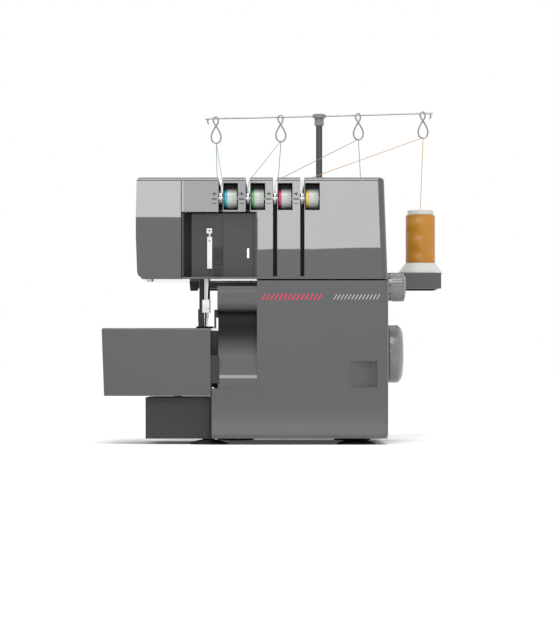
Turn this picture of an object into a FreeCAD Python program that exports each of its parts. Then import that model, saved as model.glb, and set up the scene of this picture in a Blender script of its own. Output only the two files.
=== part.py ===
import FreeCAD, Part
import Sketcher
import math
import os
import re

# Serger overlock machine: a four-thread home overlocker with its thread stand raised.
# Frame: X runs to the handwheel side, Y runs from the front face to the spool tray and Z runs up.
# The origin lies on the table, under the centre of the machine's footprint.

os.makedirs("parts", exist_ok=True)
doc = FreeCAD.newDocument("SergerOverlock")

# ---------------------------------------------------------------------------------------------
# Driving dimensions, in millimetres and degrees.  Every alias below is written once.
# ---------------------------------------------------------------------------------------------
DIMENSIONS = [
    # casings
    ("body_left", -152.5, "left end of the head"),
    ("body_right", 115.5, "right side of the column at its foot"),
    ("body_draft", 4.6, "how far the column's right side leans in at the top"),
    ("front", -140.0, "front face of the casings"),
    ("arm_back", -20.0, "back face of the arm"),
    ("column_left", -24.0, "left side of the column"),
    ("column_back", 50.0, "back face of the column"),
    ("body_top", 284.0, "top of the head and column"),
    ("arm_under", 176.0, "underside of the arm"),
    ("bed_top", 124.0, "sewing surface"),
    ("pan_under", 6.0, "underside of the base pan"),
    ("pan_floor", 4.0, "thickness of the base pan's floor"),
    ("shell", 3.0, "wall of the moulded covers"),
    ("seam", 0.4, "gap between neighbouring covers"),
    ("top_round", 4.0, "rounding of the top edges"),
    ("side_round", 7.0, "rounding of the column's upright right edges"),
    ("face_seam", -104.5, "seam between the face cover and the top cover"),
    ("face_round", 8.0, "rounding of the face cover's lower corner"),
    ("bed_left", -72.0, "left end of the bed casing"),
    ("bed_front", -58.0, "front edge of the bed casing behind the needle plate"),
    ("cover_depth", 22.0, "depth of the looper cover's side walls"),
    # take-up window
    ("window_low", 178.0, "lower edge of the take-up window"),
    ("window_high", 247.0, "upper edge of the take-up window"),
    ("window_step", -60.0, "where the recess panel steps forward"),
    ("recess_depth", 18.0, "depth of the recess on its left side"),
    ("recess_step", 4.0, "how much shallower the recess is on its right side"),
    ("return_slope", 10.0, "width of the slanted left side of the recess"),
    ("panel_wall", 2.0, "wall of the recess panel"),
    # thread slots and tension units
    ("first_slot", -62.6, "centre of the first thread slot"),
    ("slot_pitch", 28.9, "spacing of the slots and dials"),
    ("slot_width", 4.2, "width of a thread slot"),
    ("slot_floor", 270.0, "floor of the slot's channel across the top"),
    ("long_slot_low", 178.5, "lower end of the two long slots"),
    ("slot_depth", 25.0, "depth of the slot behind the front face"),
    ("dial_window_gap", 1.0, "web between a slot and its dial window"),
    ("dial_window_width", 15.2, "width of a dial window"),
    ("dial_window_low", 249.2, "sill of the dial windows"),
    ("dial_window_high", 277.6, "head of the dial windows"),
    ("liner_wall", 1.2, "wall of the black tension frame"),
    ("dial_radius", 10.8, "radius of a tension dial"),
    ("dial_height", 261.8, "height of the tension dials' axis"),
    ("dial_set_back", 12.6, "depth of the dials' axis behind the front face"),
    ("dial_bore_fit", 0.05, "running clearance of the dials on their posts"),
    ("post_radius", 2.4, "radius of a tension post"),
    ("disc_radius", 8.4, "radius of a tension disc"),
    ("disc_thickness", 0.5, "thickness of a tension disc"),
    # feet
    ("foot_radius", 21.0, "radius of a suction foot"),
    ("foot_left", -76.0, "left row of feet"),
    ("foot_inset", 26.0, "how far the back left foot stands in from the front left one"),
    ("foot_right", 82.0, "right row of feet"),
    ("foot_front", -110.0, "front row of feet"),
    ("foot_back", 27.0, "back row of feet"),
    # base block and cloth plate
    ("block_left", -143.5, "left side of the base block"),
    ("block_front", -118.0, "front of the base block, set back under the cloth plate"),
    ("block_top", 50.0, "top of the base block"),
    ("block_back", -10.0, "back of the base block"),
    ("block_wall", 2.5, "wall of the base block"),
    ("plate_left", -189.0, "left end of the cloth plate"),
    ("plate_back", -20.0, "back edge of the cloth plate"),
    ("plate_taper", 2.6, "how far the skirt draws in at its lower edge"),
    ("skirt_low", 52.0, "lower edge of the cloth plate's skirt"),
    ("plate_pin_x", -112.0, "cloth plate hinge pin across"),
    ("plate_pin_y", -34.0, "cloth plate hinge pin from front to back"),
    ("plate_pin_radius", 4.0, "radius of the cloth plate's hinge pin"),
    ("needle_plate_left", -98.0, "left edge of the needle plate"),
    ("needle_plate_front", -118.4, "front edge of the needle plate"),
    ("needle_plate_thick", 2.5, "thickness of the needle plate"),
    # main shaft, motor and belt
    ("shaft_y", -45.0, "main shaft from front to back"),
    ("shaft_z", 96.8, "height of the main shaft"),
    ("shaft_radius", 5.0, "radius of the main shaft"),
    ("bearing_radius", 10.0, "outer radius of the shaft bearings"),
    ("running_fit", 0.05, "radial clearance of running shafts"),
    ("eccentric_radius", 12.0, "radius of a drive eccentric"),
    ("eccentric_throw", 6.0, "throw of a drive eccentric"),
    ("pulley_radius", 24.0, "radius of the pulley on the main shaft"),
    ("pulley_left", 96.0, "left face of both pulleys"),
    ("pulley_width", 8.0, "width of both pulleys"),
    ("belt_gap", 0.3, "gap between belt and pulleys"),
    ("belt_thick", 1.6, "thickness of the drive belt"),
    ("motor_y", 6.0, "motor from front to back"),
    ("motor_z", 42.0, "height of the motor's shaft"),
    ("motor_radius", 23.0, "radius of the motor"),
    ("motor_length", 58.0, "length of the motor"),
    ("motor_shaft_radius", 3.0, "radius of the motor's shaft"),
    ("motor_pulley_radius", 9.0, "radius of the motor's pulley"),
    ("wheel_radius", 31.6, "radius of the handwheel"),
    ("wheel_width", 17.3, "width of the handwheel"),
    ("wheel_gap", 2.5, "gap between the column and the handwheel"),
    # cast frame
    ("frame_wall", 6.0, "thickness of the frame's bearing walls"),
    ("right_wall_x", 84.0, "left face of the frame's right wall"),
    ("right_wall_thick", 8.0, "thickness of the frame's right wall"),
    ("column_wall_x", -16.0, "left face of the frame's column wall"),
    ("end_wall_x", -64.0, "left face of the frame's end wall and head web"),
    ("cross_wall_y", -82.0, "front face of the frame's cross wall"),
    ("frame_back", 30.0, "back edge of the frame's walls"),
    ("frame_top", 262.0, "top of the frame"),
    ("beam_low", 226.0, "underside of the arm beam"),
    # needle and presser bars
    ("needle_x", -78.0, "needle bar across"),
    ("needle_y", -98.0, "needle bar from front to back"),
    ("needle_bar_radius", 3.2, "radius of the needle bar"),
    ("presser_x", -83.5, "presser bar across"),
    ("presser_y", -85.0, "presser bar from front to back"),
    ("presser_bar_radius", 3.4, "radius of the presser bar"),
    ("bushing_wall", 2.2, "wall of the bar bushings"),
    ("boss_low", 179.5, "underside of the lower boss"),
    ("boss_high", 226.0, "underside of the upper boss"),
    ("boss_thick_low", 6.0, "thickness of the lower boss"),
    ("boss_thick_high", 10.0, "thickness of the upper boss"),
    ("clamp_low", 141.0, "underside of the needle clamp"),
    ("needle_tip", 118.0, "height of the needle tips at mid stroke"),
    ("rocker_y", -50.0, "arm rocker shaft from front to back"),
    ("rocker_z", 204.0, "height of the arm rocker shaft"),
    ("rocker_radius", 4.0, "radius of the arm rocker shaft"),
    ("rocker_bearing_radius", 7.0, "outer radius of the rocker bearings"),
    ("lever_reach", 43.0, "length of the needle drive lever"),
    # thread stand
    ("tray_back", 140.0, "back edge of the spool tray"),
    ("tray_half", 138.0, "half of the spool tray's length"),
    ("tray_low", 171.5, "lower edge of the spool tray"),
    ("tray_top", 189.5, "top of the spool tray"),
    ("tray_round", 14.0, "corner rounding of the spool tray"),
    ("mast_x", 46.0, "mast across, the middle of the thread stand"),
    ("stand_y", 105.0, "row of mast and spools from front to back"),
    ("mast_tube_radius", 5.2, "outer radius of the lower mast tube"),
    ("mast_radius", 3.7, "radius of the telescoping mast tube"),
    ("mast_tube_top", 298.0, "top of the lower mast tube"),
    ("mast_low", 262.0, "lower end of the telescoping tube when it is raised"),
    ("bar_height", 373.0, "height of the guide bar at the mast"),
    ("bar_radius", 1.2, "radius of the guide bar's wire"),
    ("bar_tilt", 1.4, "tilt of the guide bar, degrees"),
    ("bar_half", 126.0, "half of the guide bar's length"),
    ("outer_hook", 120.0, "outer hooks from the mast"),
    ("inner_hook", 45.0, "inner hooks from the mast"),
    ("hook_drop", 25.0, "from the bar to the centre of a hook's eye"),
    ("hook_eye", 4.4, "radius of a hook's eye"),
    ("outer_pin", 117.4, "outer spool pins from the mast"),
    ("inner_pin", 50.0, "inner spool pins from the mast"),
    ("pin_radius", 3.2, "radius of a spool pin"),
    ("spool_base_radius", 25.6, "radius of a spool's conical base"),
    ("spool_base_top", 202.5, "top of a spool's conical base"),
    ("winding_radius", 17.2, "radius of the wound thread"),
    ("winding_top", 258.0, "top of the wound thread"),
    ("spool_cap_top", 264.0, "top of a spool's cap"),
    ("spool_cap_radius", 15.0, "radius of a spool's cap"),
    ("core_radius", 7.0, "radius of a spool's core inside the thread"),
    ("thread_radius", 0.35, "radius of a sewing thread"),
    # hinges, controls and knives
    ("plate_corner", 3.0, "rounding of the cloth plate's upright corners"),
    ("plate_rim", 2.0, "rounding of the cloth plate's upper rim"),
    ("clamp_round", 1.2, "rounding of the clamp's and the ankle's upright edges"),
    ("lifter_x", -92.0, "presser lifter's pivot across"),
    ("lifter_z", 205.0, "height of the presser lifter's pivot"),
    ("lifter_pin_radius", 2.5, "radius of the presser lifter's pin"),
    ("tray_inner_round", 11.0, "inner corner rounding of the spool tray"),
    ("knife_blade_x", -69.0, "middle of the upper knife's blade across"),
    ("feed_low", 92.0, "underside of the lower feed bar"),
    ("looper_shaft_radius", 3.0, "radius of the looper shafts"),
    ("hinge_y", -132.0, "looper cover's hinge rod from front to back"),
    ("hinge_z", 14.0, "height of the looper cover's hinge rod"),
    ("hinge_radius", 2.0, "radius of the looper cover's hinge rod"),
    ("cover_low", 6.5, "lower edge of the looper cover"),
    ("cover_round", 4.5, "rounding of the looper cover's lower front edge"),
    ("chute_low", 60.0, "lower end of the chip chute"),
    ("chute_high", 140.0, "upper end of the chip chute"),
    ("chute_ramp_low", 80.0, "lower edge of the chute's ramp"),
    ("chute_ramp_high", 94.0, "upper edge of the chute's ramp"),
    ("chute_ramp_run", 8.0, "how far the chute's ramp comes forward"),
    ("chute_wall_low", 126.0, "where the chute's leaning wall turns upright"),
    ("bump_left", -66.0, "left side of the guard above the chute"),
    ("bump_top", 168.5, "top of the guard above the chute"),
    ("bump_edge", 6.4, "height of the leaning band along the guard's top"),
    ("bump_lean", 1.5, "how far the guard's top band leans back"),
    ("bump_chamfer", 1.0, "chamfer between the guard's front and its top band"),
    ("bump_roll", 7.0, "rounding of the guard's lower front edge"),
    ("notch_right", 103.6, "right end of the finger notch"),
    ("notch_z", 75.0, "height of the middle of the finger notch"),
    ("face_screw_x", -138.4, "face cover screw across"),
    ("knife_y", -66.0, "upper knife's pivot from front to back"),
    ("knife_z", 140.0, "height of the upper knife's pivot"),
    ("knife_shaft_radius", 4.0, "radius of the upper knife's pivot shaft"),
    ("stitch_y", -75.0, "stitch length dial from front to back"),
    ("stitch_z", 169.0, "height of the stitch length dial"),
    ("stitch_radius", 14.7, "radius of the stitch length dial"),
    ("stitch_stem_radius", 4.0, "radius of the stitch length dial's stem"),
    ("switch_y", 32.0, "power switch from front to back"),
    ("switch_z", 62.0, "height of the power switch"),
    ("inlet_y", 32.0, "power inlet from front to back"),
    ("inlet_z", 30.0, "height of the power inlet"),
]

sizes = doc.addObject("Spreadsheet::Sheet", "Sizes")
for row, (alias, number, meaning) in enumerate(DIMENSIONS, start=1):
    sizes.set("A%d" % row, alias)
    sizes.set("B%d" % row, str(number))
    sizes.set("C%d" % row, meaning)
    sizes.setAlias("B%d" % row, alias)
doc.recompute()
ALIASES = {alias for alias, _, _ in DIMENSIONS}


def size(alias):
    """The number that the sheet holds for one alias."""
    return float(sizes.get(alias))


def bound(formula):
    """A size formula as an expression that reads the sheet's cells."""
    def cell(word):
        return "Sizes." + word.group(0) if word.group(0) in ALIASES else word.group(0)
    return re.sub(r"[a-z][a-z_0-9]*", cell, str(formula))


gauge = doc.addObject("App::FeaturePython", "Gauge")
gauge.addProperty("App::PropertyFloat", "Reading")


def number(formula):
    """What a size formula comes to now."""
    gauge.setExpression("Reading", bound(formula))
    gauge.recompute()
    return gauge.Reading


# ---------------------------------------------------------------------------------------------
# Makers: blocks, rods, turned and padded bodies, booleans.
# ---------------------------------------------------------------------------------------------
NODES = {}
TURN_TO = {"x": FreeCAD.Rotation(FreeCAD.Vector(0, 1, 0), 90),
           "y": FreeCAD.Rotation(FreeCAD.Vector(1, 0, 0), -90),
           "z": FreeCAD.Rotation()}


def node(label, item):
    """Makes an object a sub-part of the machine under its own label."""
    item.Label = label
    NODES[label] = item
    return item


def place(item, x, y, z, turn="z"):
    """Puts an object's own origin at three formulas, with its own Z turned to an axis."""
    item.Placement = FreeCAD.Placement(FreeCAD.Vector(), TURN_TO[turn])
    for axis, formula in (("x", x), ("y", y), ("z", z)):
        item.setExpression("Placement.Base." + axis, bound(formula))
    return item


def block(name, x, y, z):
    """A box between two formulas along each axis."""
    item = doc.addObject("Part::Box", name)
    for side, (low, high) in (("Length", x), ("Width", y), ("Height", z)):
        item.setExpression(side, bound("(%s) - (%s)" % (high, low)))
    return place(item, x[0], y[0], z[0])


def rod(name, axis, centre, radius, span):
    """A cylinder along an axis; centre gives the other two places in X, Y, Z order."""
    item = doc.addObject("Part::Cylinder", name)
    item.setExpression("Radius", bound(radius))
    item.setExpression("Height", bound("(%s) - (%s)" % (span[1], span[0])))
    spot = list(centre)
    spot.insert("xyz".index(axis), span[0])
    return place(item, *spot, turn=axis)


def fuse(name, items):
    """One solid of several."""
    item = doc.addObject("Part::MultiFuse", name)
    item.Shapes = list(items)
    item.Refine = True
    return item


def cut(name, base, tools):
    """A base with every tool taken away from it."""
    tool = tools[0] if len(tools) == 1 else fuse(name + "Tools", tools)
    item = doc.addObject("Part::Cut", name)
    item.Base = base
    item.Tool = tool
    item.Refine = True
    return item


def group(name, items):
    """Separate solids that share one node."""
    item = doc.addObject("Part::Compound", name)
    item.Links = list(items)
    return item


def ring(name, axis, centre, outer, inner, span):
    """A tube along an axis."""
    hole = rod(name + "Hole", axis, centre, inner, ("(%s) - 1" % span[0], "(%s) + 1" % span[1]))
    return cut(name, rod(name + "Body", axis, centre, outer, span), [hole])


def rounded(name, base, radius, chosen):
    """The base with the chosen edges rounded."""
    doc.recompute()
    item = doc.addObject("Part::Fillet", name)
    item.Base = base
    item.Edges = [(number, size(radius), size(radius))
                  for number, edge in enumerate(base.Shape.Edges, start=1) if chosen(edge)]
    return item


def origin_plane(body, role):
    """One of a body's own origin planes."""
    return [plane for plane in body.Origin.OriginFeatures if plane.Role == role][0]


def outline(body, role, points):
    """A closed sketch whose corners are tied to size formulas."""
    sketch = body.newObject("Sketcher::SketchObject", body.Name + "Outline")
    sketch.AttachmentSupport = [(origin_plane(body, role), "")]
    sketch.MapMode = "FlatFace"
    count = len(points)
    spots = [FreeCAD.Vector(number(across), number(up), 0) for across, up in points]
    for index in range(count):
        sketch.addGeometry(Part.LineSegment(spots[index], spots[(index + 1) % count]), False)
    for index in range(count):
        sketch.addConstraint(Sketcher.Constraint("Coincident", index, 2, (index + 1) % count, 1))
    for index, (across, up) in enumerate(points):
        for kind, formula, now in (("DistanceX", across, spots[index].x),
                                   ("DistanceY", up, spots[index].y)):
            placed = sketch.addConstraint(Sketcher.Constraint(kind, -1, 1, index, 1, now))
            sketch.renameConstraint(placed, "%s%d" % (kind, index))
            sketch.setExpression("Constraints.%s%d" % (kind, index), bound(formula))
    return sketch


def padded(name, role, points, low, high):
    """A body padded from a sketch between two places along the plane's own axis."""
    body = doc.addObject("PartDesign::Body", name)
    sketch = outline(body, role, points)
    offset = "-(%s)" % high if role == "XZ_Plane" else low
    sketch.setExpression("AttachmentOffset.Base.z", bound(offset))
    pad = body.newObject("PartDesign::Pad", name + "Pad")
    pad.Profile = sketch
    pad.setExpression("Length", bound("(%s) - (%s)" % (high, low)))
    return body


def turned(name, points, turn="z", at=("0", "0", "0")):
    """A body turned from a profile of (radius, height) corners, with its own Z laid along an axis."""
    body = doc.addObject("PartDesign::Body", name)
    sketch = outline(body, "XZ_Plane", points)
    spin = body.newObject("PartDesign::Revolution", name + "Turn")
    spin.Profile = sketch
    spin.ReferenceAxis = (sketch, ["V_Axis"])
    spin.Angle = 360
    return place(body, at[0], at[1], at[2], turn)


def upright(edge):
    """True for a straight edge along Z."""
    ends = edge.Vertexes
    return (len(ends) == 2 and abs(ends[0].X - ends[1].X) < 0.01 and abs(ends[0].Y - ends[1].Y) < 0.01)


# ---------------------------------------------------------------------------------------------
# Casings
# ---------------------------------------------------------------------------------------------
SLOTS = ["first_slot + %d * slot_pitch" % unit for unit in range(4)]
SHORT_SLOTS = SLOTS[:2]
LOOPER_PIVOTS = (("-40", "40"), ("-28", "70"))
dial_axis = ("front + dial_set_back", "dial_height")


def make_base_pan():
    """Moulded floor with the hollow block under the cloth plate and the cover's hinge brackets."""
    floor = block("PanFloor", ("bed_left", "body_right"), ("foot_front - 4.5", "column_back"),
                  ("pan_under", "pan_under + pan_floor"))
    strip = block("PanStrip", ("bed_left - block_wall", "bed_left + 1"), ("foot_front - 4.5", "block_back"),
                  ("pan_under", "pan_under + pan_floor"))
    blk = block("PanBlock", ("block_left", "bed_left - seam"), ("block_front", "block_back"),
                ("pan_under", "block_top"))
    hollow = block("PanHollow", ("block_left + block_wall", "bed_left - seam - block_wall"),
                   ("block_front + block_wall", "block_back - block_wall"),
                   ("pan_under + pan_floor", "block_top + 1"))
    tub = cut("PanTub", rounded("PanRound", blk, "block_wall", upright), [hollow])
    socket = rod("PinSocket", "z", ("plate_pin_x", "plate_pin_y"), "plate_pin_radius + 4",
                 ("pan_under + 1", "block_top"))
    rib = block("PinRib", ("plate_pin_x - 2", "plate_pin_x + 2"), ("plate_pin_y", "block_back - 1"),
                ("pan_under + 1", "block_top - 6"))
    brackets = []
    for left in ("-56", "90"):
        arm = block("BracketArm", (left, left + " + 6"), ("hinge_y", "foot_front"),
                    ("hinge_z - 3.4", "hinge_z + 3.4"))
        eye = rod("BracketEye", "x", ("hinge_y", "hinge_z"), "3.8", (left, left + " + 6"))
        post = block("BracketPost", (left, left + " + 6"), ("foot_front - 4.5", "foot_front"),
                     ("pan_under", "hinge_z + 3.4"))
        brackets += [arm, eye, post]
    solid = fuse("PanSolid", [floor, strip, tub, socket, rib] + brackets)
    pin_hole = rod("PinHole", "z", ("plate_pin_x", "plate_pin_y"), "plate_pin_radius",
                   ("pan_under + pan_floor", "block_top + 1"))
    rod_hole = rod("HingeHole", "x", ("hinge_y", "hinge_z"), "hinge_radius", ("-80", "body_right"))
    return node("base_pan", cut("BasePan", solid, [pin_hole, rod_hole]))


def make_feet():
    """Four rubber suction feet with a domed top, seated against the pan."""
    feet = []
    spots = [("foot_left", "foot_front"), ("foot_left + foot_inset", "foot_back"),
             ("foot_right", "foot_front"), ("foot_right", "foot_back")]
    for across, back in spots:
        profile = [("0", "1.2"), ("foot_radius - 6", "0"), ("foot_radius", "0"), ("foot_radius", "1.2"),
                   ("foot_radius - 9", "pan_under - 2"), ("7", "pan_under - 1"), ("6", "pan_under"),
                   ("0", "pan_under")]
        feet.append(turned("Foot", profile, at=(across, back, "0")))
    return node("suction_feet", group("SuctionFeet", feet))


def make_top_cover():
    """One shell over the arm and the column, with the thread slots, dial windows and take-up window."""
    sheet = [("face_seam + seam", "arm_under"), ("body_right - 0.6", "arm_under"),
             ("body_right - body_draft", "body_top"), ("face_seam + seam", "body_top")]
    outer = padded("TopOuter", "XZ_Plane", sheet, "front", "column_back")
    behind = block("BehindArm", ("face_seam - 5", "column_left"), ("arm_back", "column_back + 5"),
                   ("arm_under - 5", "body_top + 5"))
    shape = cut("TopShape", outer, [behind])

    def side_edge(edge):
        ends = [edge.Vertexes[0].Point, edge.Vertexes[-1].Point]
        return all(end.x > number("body_right - 10") for end in ends) and abs(ends[0].y - ends[1].y) < 0.01 \
            and abs(ends[0].z - ends[1].z) > 50

    sides = rounded("TopSides", shape, "side_round", side_edge)

    def top_edge(edge):
        top = number("body_top")
        ends = [edge.Vertexes[0].Point, edge.Vertexes[-1].Point]
        flat = all(abs(end.z - top) < 0.01 for end in ends)
        return flat and not all(abs(end.x - number("face_seam + seam")) < 0.01 for end in ends)

    outside = rounded("TopRound", sides, "top_round", top_edge)
    inner = padded("TopInner", "XZ_Plane",
                   [("face_seam - 5", "arm_under - 5"), ("body_right - 0.4 - shell", "arm_under - 5"),
                    ("body_right - body_draft - shell", "body_top - shell"),
                    ("face_seam - 5", "body_top - shell")],
                   "front + shell", "column_back - shell")
    keep = block("ArmBackWall", ("face_seam - 6", "column_left + shell"),
                 ("arm_back - shell", "column_back"), ("arm_under - 6", "body_top"))
    cavity = cut("TopCavity", inner, [keep])
    tools = [cavity]
    for slot in SLOTS:
        low = "window_high - 1" if slot in SHORT_SLOTS else "long_slot_low"
        tools.append(block("SlotFront", (slot + " - slot_width / 2", slot + " + slot_width / 2"),
                           ("front - 1", "front + shell + 1"), (low, "body_top + 1")))
        tools.append(block("SlotTop", (slot + " - slot_width / 2", slot + " + slot_width / 2"),
                           ("front - 1", "column_back + 1"), ("slot_floor", "body_top + 1")))
        left = slot + " + slot_width / 2 + dial_window_gap"
        tools.append(block("DialWindow", (left, left + " + dial_window_width"),
                           ("front - 1", "front + shell + 1"), ("dial_window_low", "dial_window_high")))
    tools.append(block("TakeUpWindow", ("face_seam - 1", "column_left - seam"),
                       ("front - 1", "front + shell + 1"), ("window_low", "window_high")))
    return node("top_cover", cut("TopCover", outside, tools))


def make_face_cover():
    """The end cap of the head, closed on the left and open towards the arm."""
    outer = padded("FaceOuter", "XZ_Plane",
                   [("body_left + 1.6", "arm_under + 0.5"), ("face_seam", "arm_under + 0.5"),
                    ("face_seam", "body_top"), ("body_left + 1", "body_top"),
                    ("body_left", "body_top - 40"), ("body_left", "body_top - 62")], "front", "arm_back")

    def corner(edge):
        ends = [edge.Vertexes[0].Point, edge.Vertexes[-1].Point]
        along = abs(ends[0].y - ends[1].y) > 50
        return along and ends[0].x < number("body_left + 10") and ends[0].z < number("arm_under + 5")

    def rim(edge):
        ends = [edge.Vertexes[0].Point, edge.Vertexes[-1].Point]
        seam = all(abs(end.x - number("face_seam")) < 0.01 for end in ends)
        return all(abs(end.z - number("body_top")) < 0.01 for end in ends) and not seam

    soft = rounded("FaceRim", rounded("FaceCorner", outer, "face_round", corner), "top_round", rim)
    inner = block("FaceInner", ("body_left + shell + 1.6", "face_seam + 1"),
                  ("front + shell", "arm_back - shell"), ("arm_under - 1", "body_top - shell"))
    screw = rod("FaceScrewHole", "z", ("face_screw_x", "front + 20"), "1.6",
                ("arm_under - 1", "arm_under + shell + 8"))
    lug = block("FaceLug", ("face_screw_x - 5", "face_screw_x + 5"), ("front + shell - 1", "front + 26"),
                ("arm_under + 3.2", "arm_under + shell + 6"))
    hollow = cut("FaceHollow", soft, [inner])
    return node("face_cover", cut("FaceCover", fuse("FaceWithLug", [hollow, lug]), [screw]))


def make_arm_underside():
    """Flat plate that closes the head from below, with clear holes for the two bars."""
    plate = block("UnderPlate", ("body_left + shell + 3", "column_left - seam"),
                  ("front + shell + 0.3", "arm_back - shell - 0.3"),
                  ("arm_under", "arm_under + panel_wall"))
    holes = [rod("NeedleBarHole", "z", ("needle_x", "needle_y"), "needle_bar_radius + 1.5",
                 ("arm_under - 1", "arm_under + 5")),
             rod("PresserBarHole", "z", ("presser_x", "presser_y"), "presser_bar_radius + 1.2",
                 ("arm_under - 1", "arm_under + 5")),
             rod("UnderScrewHole", "z", ("face_screw_x", "front + 20"), "1.6",
                 ("arm_under - 1", "arm_under + 5"))]
    return node("arm_underside", cut("ArmUnderside", plate, holes))


def make_recess_panel():
    """Folded dark panel behind the take-up window, deeper on the left than on the right."""
    deep = "front + recess_depth"
    near = "front + recess_depth - recess_step"
    left = "face_seam + seam + 0.2"
    plan = [(left, "front + shell + 0.2"), (left + " + panel_wall", "front + shell + 0.2"),
            (left + " + return_slope", deep), ("window_step", deep), ("window_step", near),
            ("column_left - seam - panel_wall", near),
            ("column_left - seam - panel_wall", "front + shell + 0.2"),
            ("column_left - seam", "front + shell + 0.2"), ("column_left - seam", near + " + panel_wall"),
            ("window_step + panel_wall", near + " + panel_wall"),
            ("window_step + panel_wall", deep + " + panel_wall"),
            (left + " + return_slope - 1", deep + " + panel_wall"), (left, "front + shell + 4")]
    wall = padded("RecessWall", "XY_Plane", plan, "window_low + 0.4", "window_high - 0.4")
    return node("recess_panel", wall)


def make_rear_cover():
    """Shell round the bed and the column's foot, open at the front behind the looper cover."""
    low = "pan_under + pan_floor"
    column = block("RearColumn", ("column_left", "body_right"), ("front + cover_depth + 3", "column_back"),
                   (low, "arm_under - seam"))
    bed = block("RearBed", ("bed_left", "column_left + 1"), ("bed_front", "column_back"), (low, "bed_top"))
    outer = rounded("RearRound", fuse("RearOuter", [column, bed]), "side_round",
                    lambda edge: upright(edge) and edge.Vertexes[0].X > number("body_right - 1")
                    and edge.Vertexes[0].Y > 0)
    inside = block("RearInside", ("column_left + shell", "body_right - shell"),
                   ("front", "column_back - shell"), (low + " - 1", "arm_under + 1"))
    bed_inside = block("RearBedInside", ("bed_left + shell", "column_left + shell + 1"),
                       ("bed_front - 1", "column_back - shell"), (low + " - 1", "bed_top - shell"))
    looper_side = block("RearLooperSide", ("column_left - 1", "column_left + shell + 1"),
                        ("front", "bed_front + 1"), (low + " - 1", "bed_top - needle_plate_thick + 0.3"))
    holes = [rod("WheelHole", "x", ("shaft_y", "shaft_z"), "shaft_radius + 2",
                 ("body_right - shell - 1", "body_right + 1")),
             rod("KnifeShaftHole", "x", ("knife_y", "knife_z"), "knife_shaft_radius + 1.5",
                 ("column_left - 1", "column_left + shell + 1")),
             rod("StitchDialHole", "x", ("stitch_y", "stitch_z"), "stitch_stem_radius + running_fit",
                 ("body_right - shell - 1", "body_right + 1")),
             block("SwitchHole", ("body_right - shell - 1", "body_right + 1"),
                   ("switch_y - 7", "switch_y + 7"), ("switch_z - 11", "switch_z + 11")),
             block("InletHole", ("body_right - shell - 1", "body_right + 1"),
                   ("inlet_y - 12", "inlet_y + 12"), ("inlet_z - 9", "inlet_z + 9"))]
    return node("rear_cover", cut("RearCover", outer, [inside, bed_inside, looper_side] + holes))


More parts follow.
